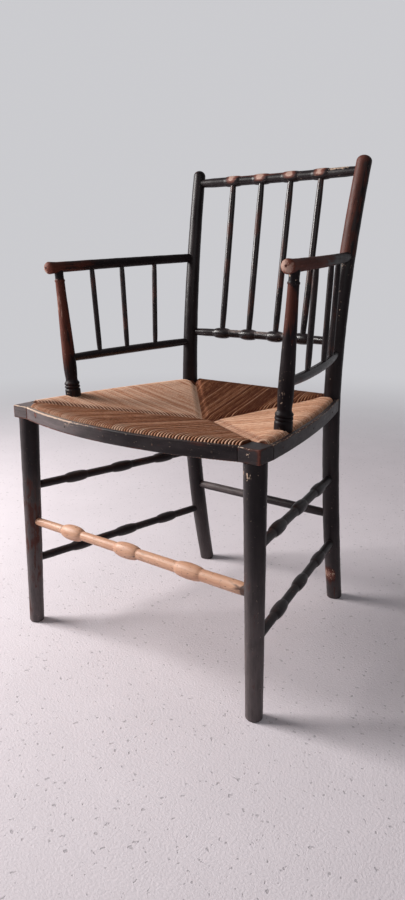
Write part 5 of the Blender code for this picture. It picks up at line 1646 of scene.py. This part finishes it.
@dataclass
class RushSeat:
    """The woven seat: every strand wraps its rail from seam to seam, above and below a core painted dark as shade."""

    layout: Layout
    crest: float = 0.0055
    valley: float = -0.0330
    belly: float = -0.0460
    under: float = 0.4020
    middle_y: float = 0.01865
    ridge_half: float = 0.012
    inset: float = 0.0083
    back_y: float = 0.19745
    front_count: int = 48
    back_count: int = 36
    half_height: float = 0.0023
    step: float = 0.0032
    sides: int = 8
    dip_run: float = 0.016
    dips: tuple[float, float] = (0.0070, 0.0042)

    def __post_init__(self) -> None:
        """Works out the corners and the strand tree."""
        corner = Vector((self.layout.block_face_x, self.layout.face_y))
        for _ in range(12):
            corner = Vector((self.side_edge(corner.y), self.front_edge(corner.x)))
        self.front_corner = corner
        self.back_corner = Vector((self.side_edge(self.back_y), self.back_y))
        self.apex = Vector((self.ridge_half, self.middle_y))

    def front_edge(self, x: float) -> float:
        """The weave's outer wall behind the front strip."""
        return self.layout.front_face(x) + self.inset

    def side_edge(self, y: float) -> float:
        """The weave's outer wall inside a side strip, on the right."""
        return self.layout.side_face(y) - self.inset

    def seam_levels(self, share: float) -> tuple[float, float]:
        """Top and bottom heights on a seam, from a corner at 0 to the middle at 1."""
        top = self.layout.seat_z + blend(self.crest, self.valley, share)
        return top, blend(self.under, self.layout.seat_z + self.belly, share)

    def seam_dip(self, share: float) -> float:
        """How far the strands dive where two panels meet."""
        return blend(self.dips[0], self.dips[1], share) * soft_step(0.0, 0.25, share)

    def path(self, seam: Vector, edge: Vector, share: float, lift: float) -> list[Vector]:
        """The middle line of one strand, from the seam over its rail and back below.

        Args:
            seam: Where it meets the neighbouring panel, in plan.
            edge: Where it turns over the outer wall, in plan.
            share: How far along the seam it lies.
            lift: A small unevenness of its height.

        Returns:
            Smoothed points.
        """
        top, under = self.seam_levels(share)
        length = (seam - edge).length
        inwards = (seam - edge).normalized()
        half = self.half_height
        crest = self.layout.seat_z + self.crest
        reach = min(0.023, length * 0.6)
        run = min(self.dip_run, length * 0.35)
        dip = self.seam_dip(share)
        pairs = [(length + 0.0006, top - half - dip - 0.0015), (length - 0.0012, top - half - dip * 0.82),
                 (length - run * 0.35, top - half - dip * 0.42 + lift),
                 (length - run * 0.70, top - half - dip * 0.12 + lift)]
        inner = max(round((length - run - reach) / 0.02), 1)
        for index in range(inner + 1):
            part = index / inner
            sag = -0.0008 * math.sin(math.pi * part)
            risen = (run + (length - run - reach) * part) / (length - reach)
            level = blend(top, crest - 0.0012, risen) - half + lift + sag
            pairs.append((blend(length - run, reach, part), level))
        pairs += [(min(0.011, reach * 0.6), crest - half + lift), (0.0050, crest - half - 0.0013),
                  (half, crest - 0.0068), (half, self.under + 0.0068), (0.0050, self.under + half + 0.0013),
                  (min(0.011, reach * 0.6), self.under + half)]
        for index in range(inner + 1):
            part = index / inner
            pairs.append((blend(reach, length - 0.004, part), blend(self.under, under, part) + half - lift))
        pairs.append((length + 0.0008, under + half + 0.0030))
        points = [Vector((*(edge + inwards * distance), level)) for distance, level in pairs]
        for _ in range(2):
            points = self.cut_corners(points)
        return points

    def crest_nearness(self, place: Vector) -> float:
        """How near a place lies to the top of a rail, where the strands are made lighter as painted light, and
        slimmed.
        """
        ahead = min(place.y - self.front_edge(place.x), self.back_y - place.y,
                    self.side_edge(place.y) - abs(place.x))
        return soft_step(0.030, 0.009, ahead) * soft_step(0.415, 0.425, place.z)

    @staticmethod
    def cut_corners(points: Sequence[Vector]) -> list[Vector]:
        """One round of corner cutting, which keeps both ends."""
        result = [points[0]]
        for first, second in zip(points, points[1:]):
            result += [first.lerp(second, 0.25), first.lerp(second, 0.75)]
        return result + [points[-1]]

    def seam(self, front: bool) -> list[tuple[Vector, float]]:
        """Strand middles on one seam of the right half, from the corner inwards."""
        corner = self.front_corner if front else self.back_corner
        count = self.front_count if front else self.back_count
        shares = [(index + 0.5) / count for index in range(count)]
        return [(corner.lerp(self.apex, share), share) for share in shares]

    def panels(self) -> dict[str, tuple[list[list[Vector]], Vector, float]]:
        """Each panel's strand lines, the direction across them and half their width."""
        layout = self.layout
        result: dict[str, tuple[list[list[Vector]], Vector, float]] = {}
        for name, front in (("front", True), ("back", False)):
            limit = layout.block_inner_x if front else layout.post_x[1] - 0.0160
            count = self.front_count if front else self.back_count
            corner = self.front_corner if front else self.back_corner
            pitch = (corner.x - self.apex.x) / count
            lines = []
            spots = [(Vector((side.value * p.x, p.y)), share) for side in Side
                     for p, share in self.seam(front) if p.x + pitch / 2 < limit + 0.001]
            ridge = round(2 * self.ridge_half / pitch)
            for index in range(ridge):
                x = blend(-self.ridge_half, self.ridge_half, (index + 0.5) / ridge)
                spots.append((Vector((x, self.middle_y)), 1.0))
            for place, share in spots:
                edge = Vector((place.x, self.front_edge(place.x) if front else self.back_y))
                lift = 0.0004 * noise.noise(Vector((place.x * 310, 1.0, 2.0)))
                lines.append(self.path(place, edge, share, lift))
            result[name] = (lines, Vector((1, 0, 0)), pitch / 2)
        for side in Side:
            lines = []
            for front in (True, False):
                low = layout.block_back_y if front else -1.0
                high = layout.post_y[1] - 0.0154
                count = self.front_count if front else self.back_count
                corner = self.front_corner if front else self.back_corner
                pitch = abs(corner.y - self.apex.y) / count
                for place, share in self.seam(front):
                    if low < place.y - pitch / 2 + 0.001 and place.y + pitch / 2 < high + 0.001:
                        spot = Vector((side.value * place.x, place.y))
                        edge = Vector((side.value * self.side_edge(place.y), place.y))
                        lift = 0.0004 * noise.noise(Vector((place.y * 310, side.value, 5.0)))
                        lines.append(self.path(spot, edge, share, lift))
            result[side.word] = (lines, Vector((0, 1, 0)), 0.00235)
        return result

    def strand_tree(self) -> GeometryTree:
        """The tree that grows twisted strands along the lines."""
        tree = GeometryTree("twisted_strands")
        for name, kind in (("Across", "Vector"), ("Half Width", "Float"), ("Half Height", "Float"),
                           ("Step", "Float"), ("Sides", "Int"), ("Roughness", "Float"), ("Turn Length", "Float"),
                           ("Tone", "Float"), ("Seam Painted Shading", "Float"), ("Crest Painted Light", "Float"), ("Seed", "Int"),
                           ("Material", "Material")):
            tree.input(name, kind)
        resampled = tree.add("GeometryNodeResampleCurve", {"mode": "LENGTH"},
                             Curve=tree.read("Geometry"), Length=tree.read("Step"))
        index = tree.add("GeometryNodeCurveOfPoint").outputs["Curve Index"]
        spline = tree.add("GeometryNodeSplineParameter")
        start = tree.add("FunctionNodeRandomValue", {"data_type": "FLOAT"}, ID=index, Seed=tree.read("Seed"))
        tone = tree.add("FunctionNodeRandomValue", {"data_type": "FLOAT"}, ID=index,
                        Seed=tree.math("ADD", tree.read("Seed"), 7))
        along = tree.math("MULTIPLY_ADD", self.random(start), 0.9, spline.outputs["Length"])
        curve = tree.store(resampled.outputs[0], "along", along)
        far = spline.outputs["Length"]
        # Shades the strands towards their seam: painted shade, and painted light where the value is positive.
        seam = tree.ranged(far, 0.0, 0.030, tree.read("Seam Painted Shading"), 0.0, smooth=True)
        crest = tree.add("GeometryNodeInputRadius").outputs[0]
        level = tree.math("ADD", tree.read("Tone"), seam)
        # Lightens the strands near a rail's top: painted light.
        level = tree.math("MULTIPLY_ADD", crest, tree.read("Crest Painted Light"), level)
        slimmer = tree.math("MAXIMUM", crest, tree.ranged(far, 0.0, 0.018, 1.0, 0.0, smooth=True))
        width = tree.math("MULTIPLY_ADD", slimmer, -0.16, 1.0)
        curve = tree.store(curve, "tone", tree.math("ADD", self.random(tone), level))
        curve = tree.store(curve, "slim", width)
        turned = tree.add("GeometryNodeSetCurveNormal", {"mode": "FREE"}, Curve=curve,
                          Normal=tree.read("Across"))
        profile = tree.add("GeometryNodeCurvePrimitiveCircle", Resolution=tree.read("Sides"), Radius=1.0)
        position = tree.add("GeometryNodeInputPosition").outputs[0]
        ring = tree.store(profile.outputs["Curve"], "around", position, "FLOAT_VECTOR")
        size = tree.add("ShaderNodeCombineXYZ", X=tree.read("Half Width"), Y=tree.read("Half Height"), Z=1.0)
        oval = tree.add("GeometryNodeTransform", Geometry=ring, Scale=size.outputs[0])
        skin = tree.add("GeometryNodeCurveToMesh", Curve=turned.outputs[0], Profile_Curve=oval.outputs[0],
                        Scale=tree.named("slim"), Fill_Caps=True)
        split = tree.add("ShaderNodeSeparateXYZ", Vector=tree.named("around", "FLOAT_VECTOR"))
        angle = tree.math("ARCTAN2", split.outputs["Y"], split.outputs["X"])
        phase = tree.math("DIVIDE", tree.math("MULTIPLY", tree.named("along"), 2 * math.pi), tree.read("Turn Length"))
        wave = tree.math("SINE", tree.math("MULTIPLY", tree.math("ADD", angle, phase), 2.0))
        grit = tree.add("ShaderNodeTexNoise", Scale=230.0, Detail=2.0)
        uneven = tree.math("ADD", tree.math("MULTIPLY", wave, 0.5),
                           tree.math("MULTIPLY_ADD", grit.outputs["Fac"], 2.6, -1.3))
        normal = tree.add("GeometryNodeInputNormal").outputs[0]
        push = tree.add("ShaderNodeVectorMath", {"operation": "SCALE"})
        tree.put(push.inputs[0], normal)
        tree.put(push.inputs["Scale"], tree.math("MULTIPLY", uneven, tree.read("Roughness")))
        moved = tree.add("GeometryNodeSetPosition", Geometry=skin.outputs[0], Offset=push.outputs[0])
        smooth = tree.add("GeometryNodeSetShadeSmooth", Geometry=moved.outputs[0])
        tree.close(smooth.outputs[0])
        return tree

    @staticmethod
    def random(node: bpy.types.Node) -> bpy.types.NodeSocket:
        """The live output of a Random Value node."""
        return next(item for item in node.outputs if item.enabled)

    def core(self, finishes: Finishes) -> bpy.types.Object:
        """The closed body that shows between the strands, painted dark as the shade in the gaps."""
        shape = bmesh.new()

        def line(seam: Vector, edge: Vector, share: float) -> list[bmesh.types.BMVert]:
            """The core's vertices across one strand line."""
            top, under = self.seam_levels(share)
            length = (seam - edge).length
            inwards = (seam - edge).normalized() if length > 0.0001 else Vector((0.0, 0.0))
            crest = self.layout.seat_z + self.crest
            dip = self.seam_dip(share)
            bank = max(length - self.dip_run, 0.0232)
            risen = min((length - bank) / max(length - 0.023, 0.0001), 1.0)
            pairs = ((length, top - dip - 0.0032), (bank, blend(top, crest, risen) - 0.0042),
                     (0.023, crest - 0.0038), (0.011, crest - 0.0030), (0.005, crest - 0.0052),
                     (0.0025, crest - 0.009), (0.0025, self.under + 0.009), (0.005, self.under + 0.0046),
                     (0.023, self.under + 0.0025), (length, under + 0.0025))
            verts = []
            for number, (distance, level) in enumerate(pairs):
                if distance >= length:
                    distance = length
                    level = pairs[0][1] if number < 6 else pairs[-1][1]
                verts.append(shape.verts.new((*(edge + inwards * distance), level)))
            return verts

        def join(lines: list[list[bmesh.types.BMVert]]) -> None:
            """Faces between neighbouring lines."""
            for left, right in zip(lines, lines[1:]):
                for index in range(len(left) - 1):
                    shape.faces.new((left[index], left[index + 1], right[index + 1], right[index]))
        count = 20
        seams = {}
        for key, corner in (("front", self.front_corner), ("back", self.back_corner)):
            seams[key] = [(corner.lerp(self.apex, index / count), index / count) for index in range(count + 1)]
        for key in ("front", "back"):
            left = [(Vector((-p.x, p.y)), share) for p, share in seams[key]]
            spots = left + seams[key][::-1]
            join([line(p, Vector((p.x, self.front_edge(p.x) if key == "front" else self.back_y)), share)
                  for p, share in spots])
        for side in Side:
            spots = seams["front"] + seams["back"][-2::-1]
            join([line(Vector((side.value * p.x, p.y)), Vector((side.value * self.side_edge(p.y), p.y)), share)
                  for p, share in spots])
        bmesh.ops.remove_doubles(shape, verts=shape.verts[:], dist=0.00001)
        bmesh.ops.dissolve_degenerate(shape, edges=shape.edges[:], dist=0.00001)
        bmesh.ops.recalc_face_normals(shape, faces=shape.faces[:])
        piece = self.trimmed(shape)
        mesh = piece.data
        tones = mesh.attributes.new("tone", "FLOAT", "POINT")
        # A tone of -1.2 paints the core dark: painted shade between the strands.
        tones.data.foreach_set("value", [-1.2] * len(mesh.vertices))
        mesh.materials.append(finishes.rush)
        return piece

    def trimmed(self, shape: bmesh.types.BMesh) -> bpy.types.Object:
        """The core with its corners cut away where the blocks and posts stand."""
        layout = self.layout
        mesh = bpy.data.meshes.new("rush_core")
        shape.to_mesh(mesh)
        shape.free()
        body = placed("rush_core_whole", mesh)
        corners = bmesh.new()
        cuts = (((layout.block_inner_x - 0.001, layout.face_y - 0.06), (0.3, layout.block_back_y + 0.001)),
                ((layout.post_x[1] - 0.012, layout.post_y[1] - 0.012), (0.3, 0.25)))
        for side in Side:
            for low, high in cuts:
                size = Vector((high[0] - low[0], high[1] - low[1], 0.2))
                middle = Vector((side.value * (low[0] + high[0]) / 2, (low[1] + high[1]) / 2, layout.seat_z))
                bmesh.ops.create_cube(corners, size=1.0,
                                      matrix=Matrix.Translation(middle) @ Matrix.Diagonal((*size, 1.0)))
        box_mesh = bpy.data.meshes.new("corner_boxes")
        corners.to_mesh(box_mesh)
        corners.free()
        boxes = placed("corner_boxes", box_mesh)
        cut = body.modifiers.new("corners", "BOOLEAN")
        cut.operation = "DIFFERENCE"
        cut.solver = "EXACT"
        cut.object = boxes
        graph = bpy.context.evaluated_depsgraph_get()
        result = bpy.data.meshes.new_from_object(body.evaluated_get(graph))
        result.name = "rush_core"
        for item in (body, boxes):
            bpy.data.objects.remove(item, do_unlink=True)
        return placed("rush_core", result)

    def build(self, finishes: Finishes) -> None:
        """Makes the core and the four panels of strands."""
        settle(self.core(finishes), Slot.RUSH, "rush_seat")
        tree = self.strand_tree()
        # Tone, seam shading and crest light for each panel: the tone is partly the rush's own and partly painted
        # light and shade of the panel.
        tones = {"front": (-0.28, -0.50, 0.55), "back": (-0.46, -0.10, 0.10), "left": (0.62, 0.55, 0.0),
                 "right": (0.40, 0.20, 0.10)}
        for number, (name, (lines, across, half_width)) in enumerate(self.panels().items()):
            values = {"Across": across, "Half Width": half_width * 0.86, "Half Height": self.half_height,
                      "Step": self.step, "Sides": self.sides, "Roughness": 0.00013, "Turn Length": TURN_LENGTH,
                      "Tone": tones[name][0], "Seam Painted Shading": tones[name][1], "Crest Painted Light": tones[name][2],
                      "Seed": 11 + number, "Material": finishes.rush}
            piece = tree.run(f"rush_strands_{name}", line_curve(name, lines, self.crest_nearness), values)
            settle(piece, Slot.RUSH, "rush_seat")


@dataclass
class Studio:
    """A wide pale floor, soft window-like light from the left, and the camera."""

    camera_place: tuple[float, float, float] = (0.7571, -0.98725, 0.6811)
    yaw: float = 37.4363
    pitch: float = 15.2826
    roll: float = -0.2885
    focal: float = 698.58
    frame_height: float = 900.0

    def camera(self) -> None:
        """Sets the camera at the photograph's place."""
        yaw, pitch, roll = (math.radians(value) for value in (self.yaw, self.pitch, self.roll))
        ahead = Vector((-math.sin(yaw) * math.cos(pitch), math.cos(yaw) * math.cos(pitch), -math.sin(pitch)))
        right = Vector((math.cos(yaw), math.sin(yaw), 0.0))
        up = right.cross(ahead)
        rolled_right = right * math.cos(roll) + up * math.sin(roll)
        rolled_up = up * math.cos(roll) - right * math.sin(roll)
        lens = bpy.data.cameras.new("camera")
        lens.sensor_fit = "VERTICAL"
        lens.angle = 2 * math.atan(self.frame_height / 2 / self.focal)
        camera = placed("camera", lens)
        turn = Matrix((rolled_right, rolled_up, -ahead)).transposed().to_4x4()
        turn.translation = Vector(self.camera_place)
        camera.matrix_world = turn
        bpy.context.scene.camera = camera

    def floor(self) -> None:
        """A wide flat disc, whose material takes the backdrop's colour far from the chair."""
        shape = bmesh.new()
        bmesh.ops.create_circle(shape, cap_ends=True, segments=96, radius=9.0)
        mesh = bpy.data.meshes.new("studio_floor")
        shape.to_mesh(mesh)
        shape.free()
        floor = placed("studio_floor", mesh, PlainSurface().build())

    def lamp(self, name: str, place: Vector, target: Vector, size: float, power: float,
             colour: Colour = (1.0, 1.0, 1.0)) -> None:
        """A square soft lamp aimed at a target."""
        light = bpy.data.lights.new(name, "AREA")
        light.shape = "SQUARE"
        light.size = size
        light.energy = power
        light.color = colour
        lamp = placed(name, light)
        lamp.matrix_world = (Matrix.Translation(place)
                             @ (target - place).to_track_quat("-Z", "Y").to_matrix().to_4x4())

    def light(self) -> None:
        """One large soft lamp on the left, a weak one on the right, and a pale world."""
        target = Vector((0.0, 0.0, 0.42))
        self.lamp("left_window", Vector((-1.9, -1.0, 1.55)), target, 1.1, 92.0, (1.0, 0.975, 0.950))
        self.lamp("right_fill", Vector((1.9, -1.6, 1.9)), target, 1.8, 8.0)
        world = bpy.data.worlds.new("studio_world")
        bpy.context.scene.world = world
        world.use_nodes = True
        tree = NodeTree(world.node_tree)
        tree.nodes.clear()
        lit = tree.nodes.new("ShaderNodeBackground")
        lit.inputs["Color"].default_value = (0.90, 0.92, 0.95, 1.0)
        lit.inputs["Strength"].default_value = 0.20
        way = tree.nodes.new("ShaderNodeTexCoord").outputs["Object"]
        seen, shown = tree.backdrop("ShaderNodeBackground", way, 0.75, -0.2)
        tree.surface(tree.nodes.new("ShaderNodeOutputWorld"), seen, lit.outputs[0], shown)

    def build(self) -> None:
        """Sets up the whole studio."""
        bpy.context.scene.view_settings.view_transform = "Standard"
        self.camera()
        self.floor()
        self.light()


def main() -> None:
    """Builds the studio and the chair, piece by piece."""
    logging.basicConfig(level=logging.INFO, format="%(message)s")
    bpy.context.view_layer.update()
    Studio().build()
    layout = Layout()
    finishes = Finishes.build()
    spindles = Spindles()
    FrontLegs(layout).build(finishes)
    BackPosts(layout).build(finishes)
    Arms(layout).build(finishes, spindles)
    ChairBack(layout).build(finishes, spindles)
    Stretchers(layout).build(finishes)
    SeatEdge(layout).build(finishes)
    RushSeat(layout).build(finishes)


if __name__ == "__main__":
    main()
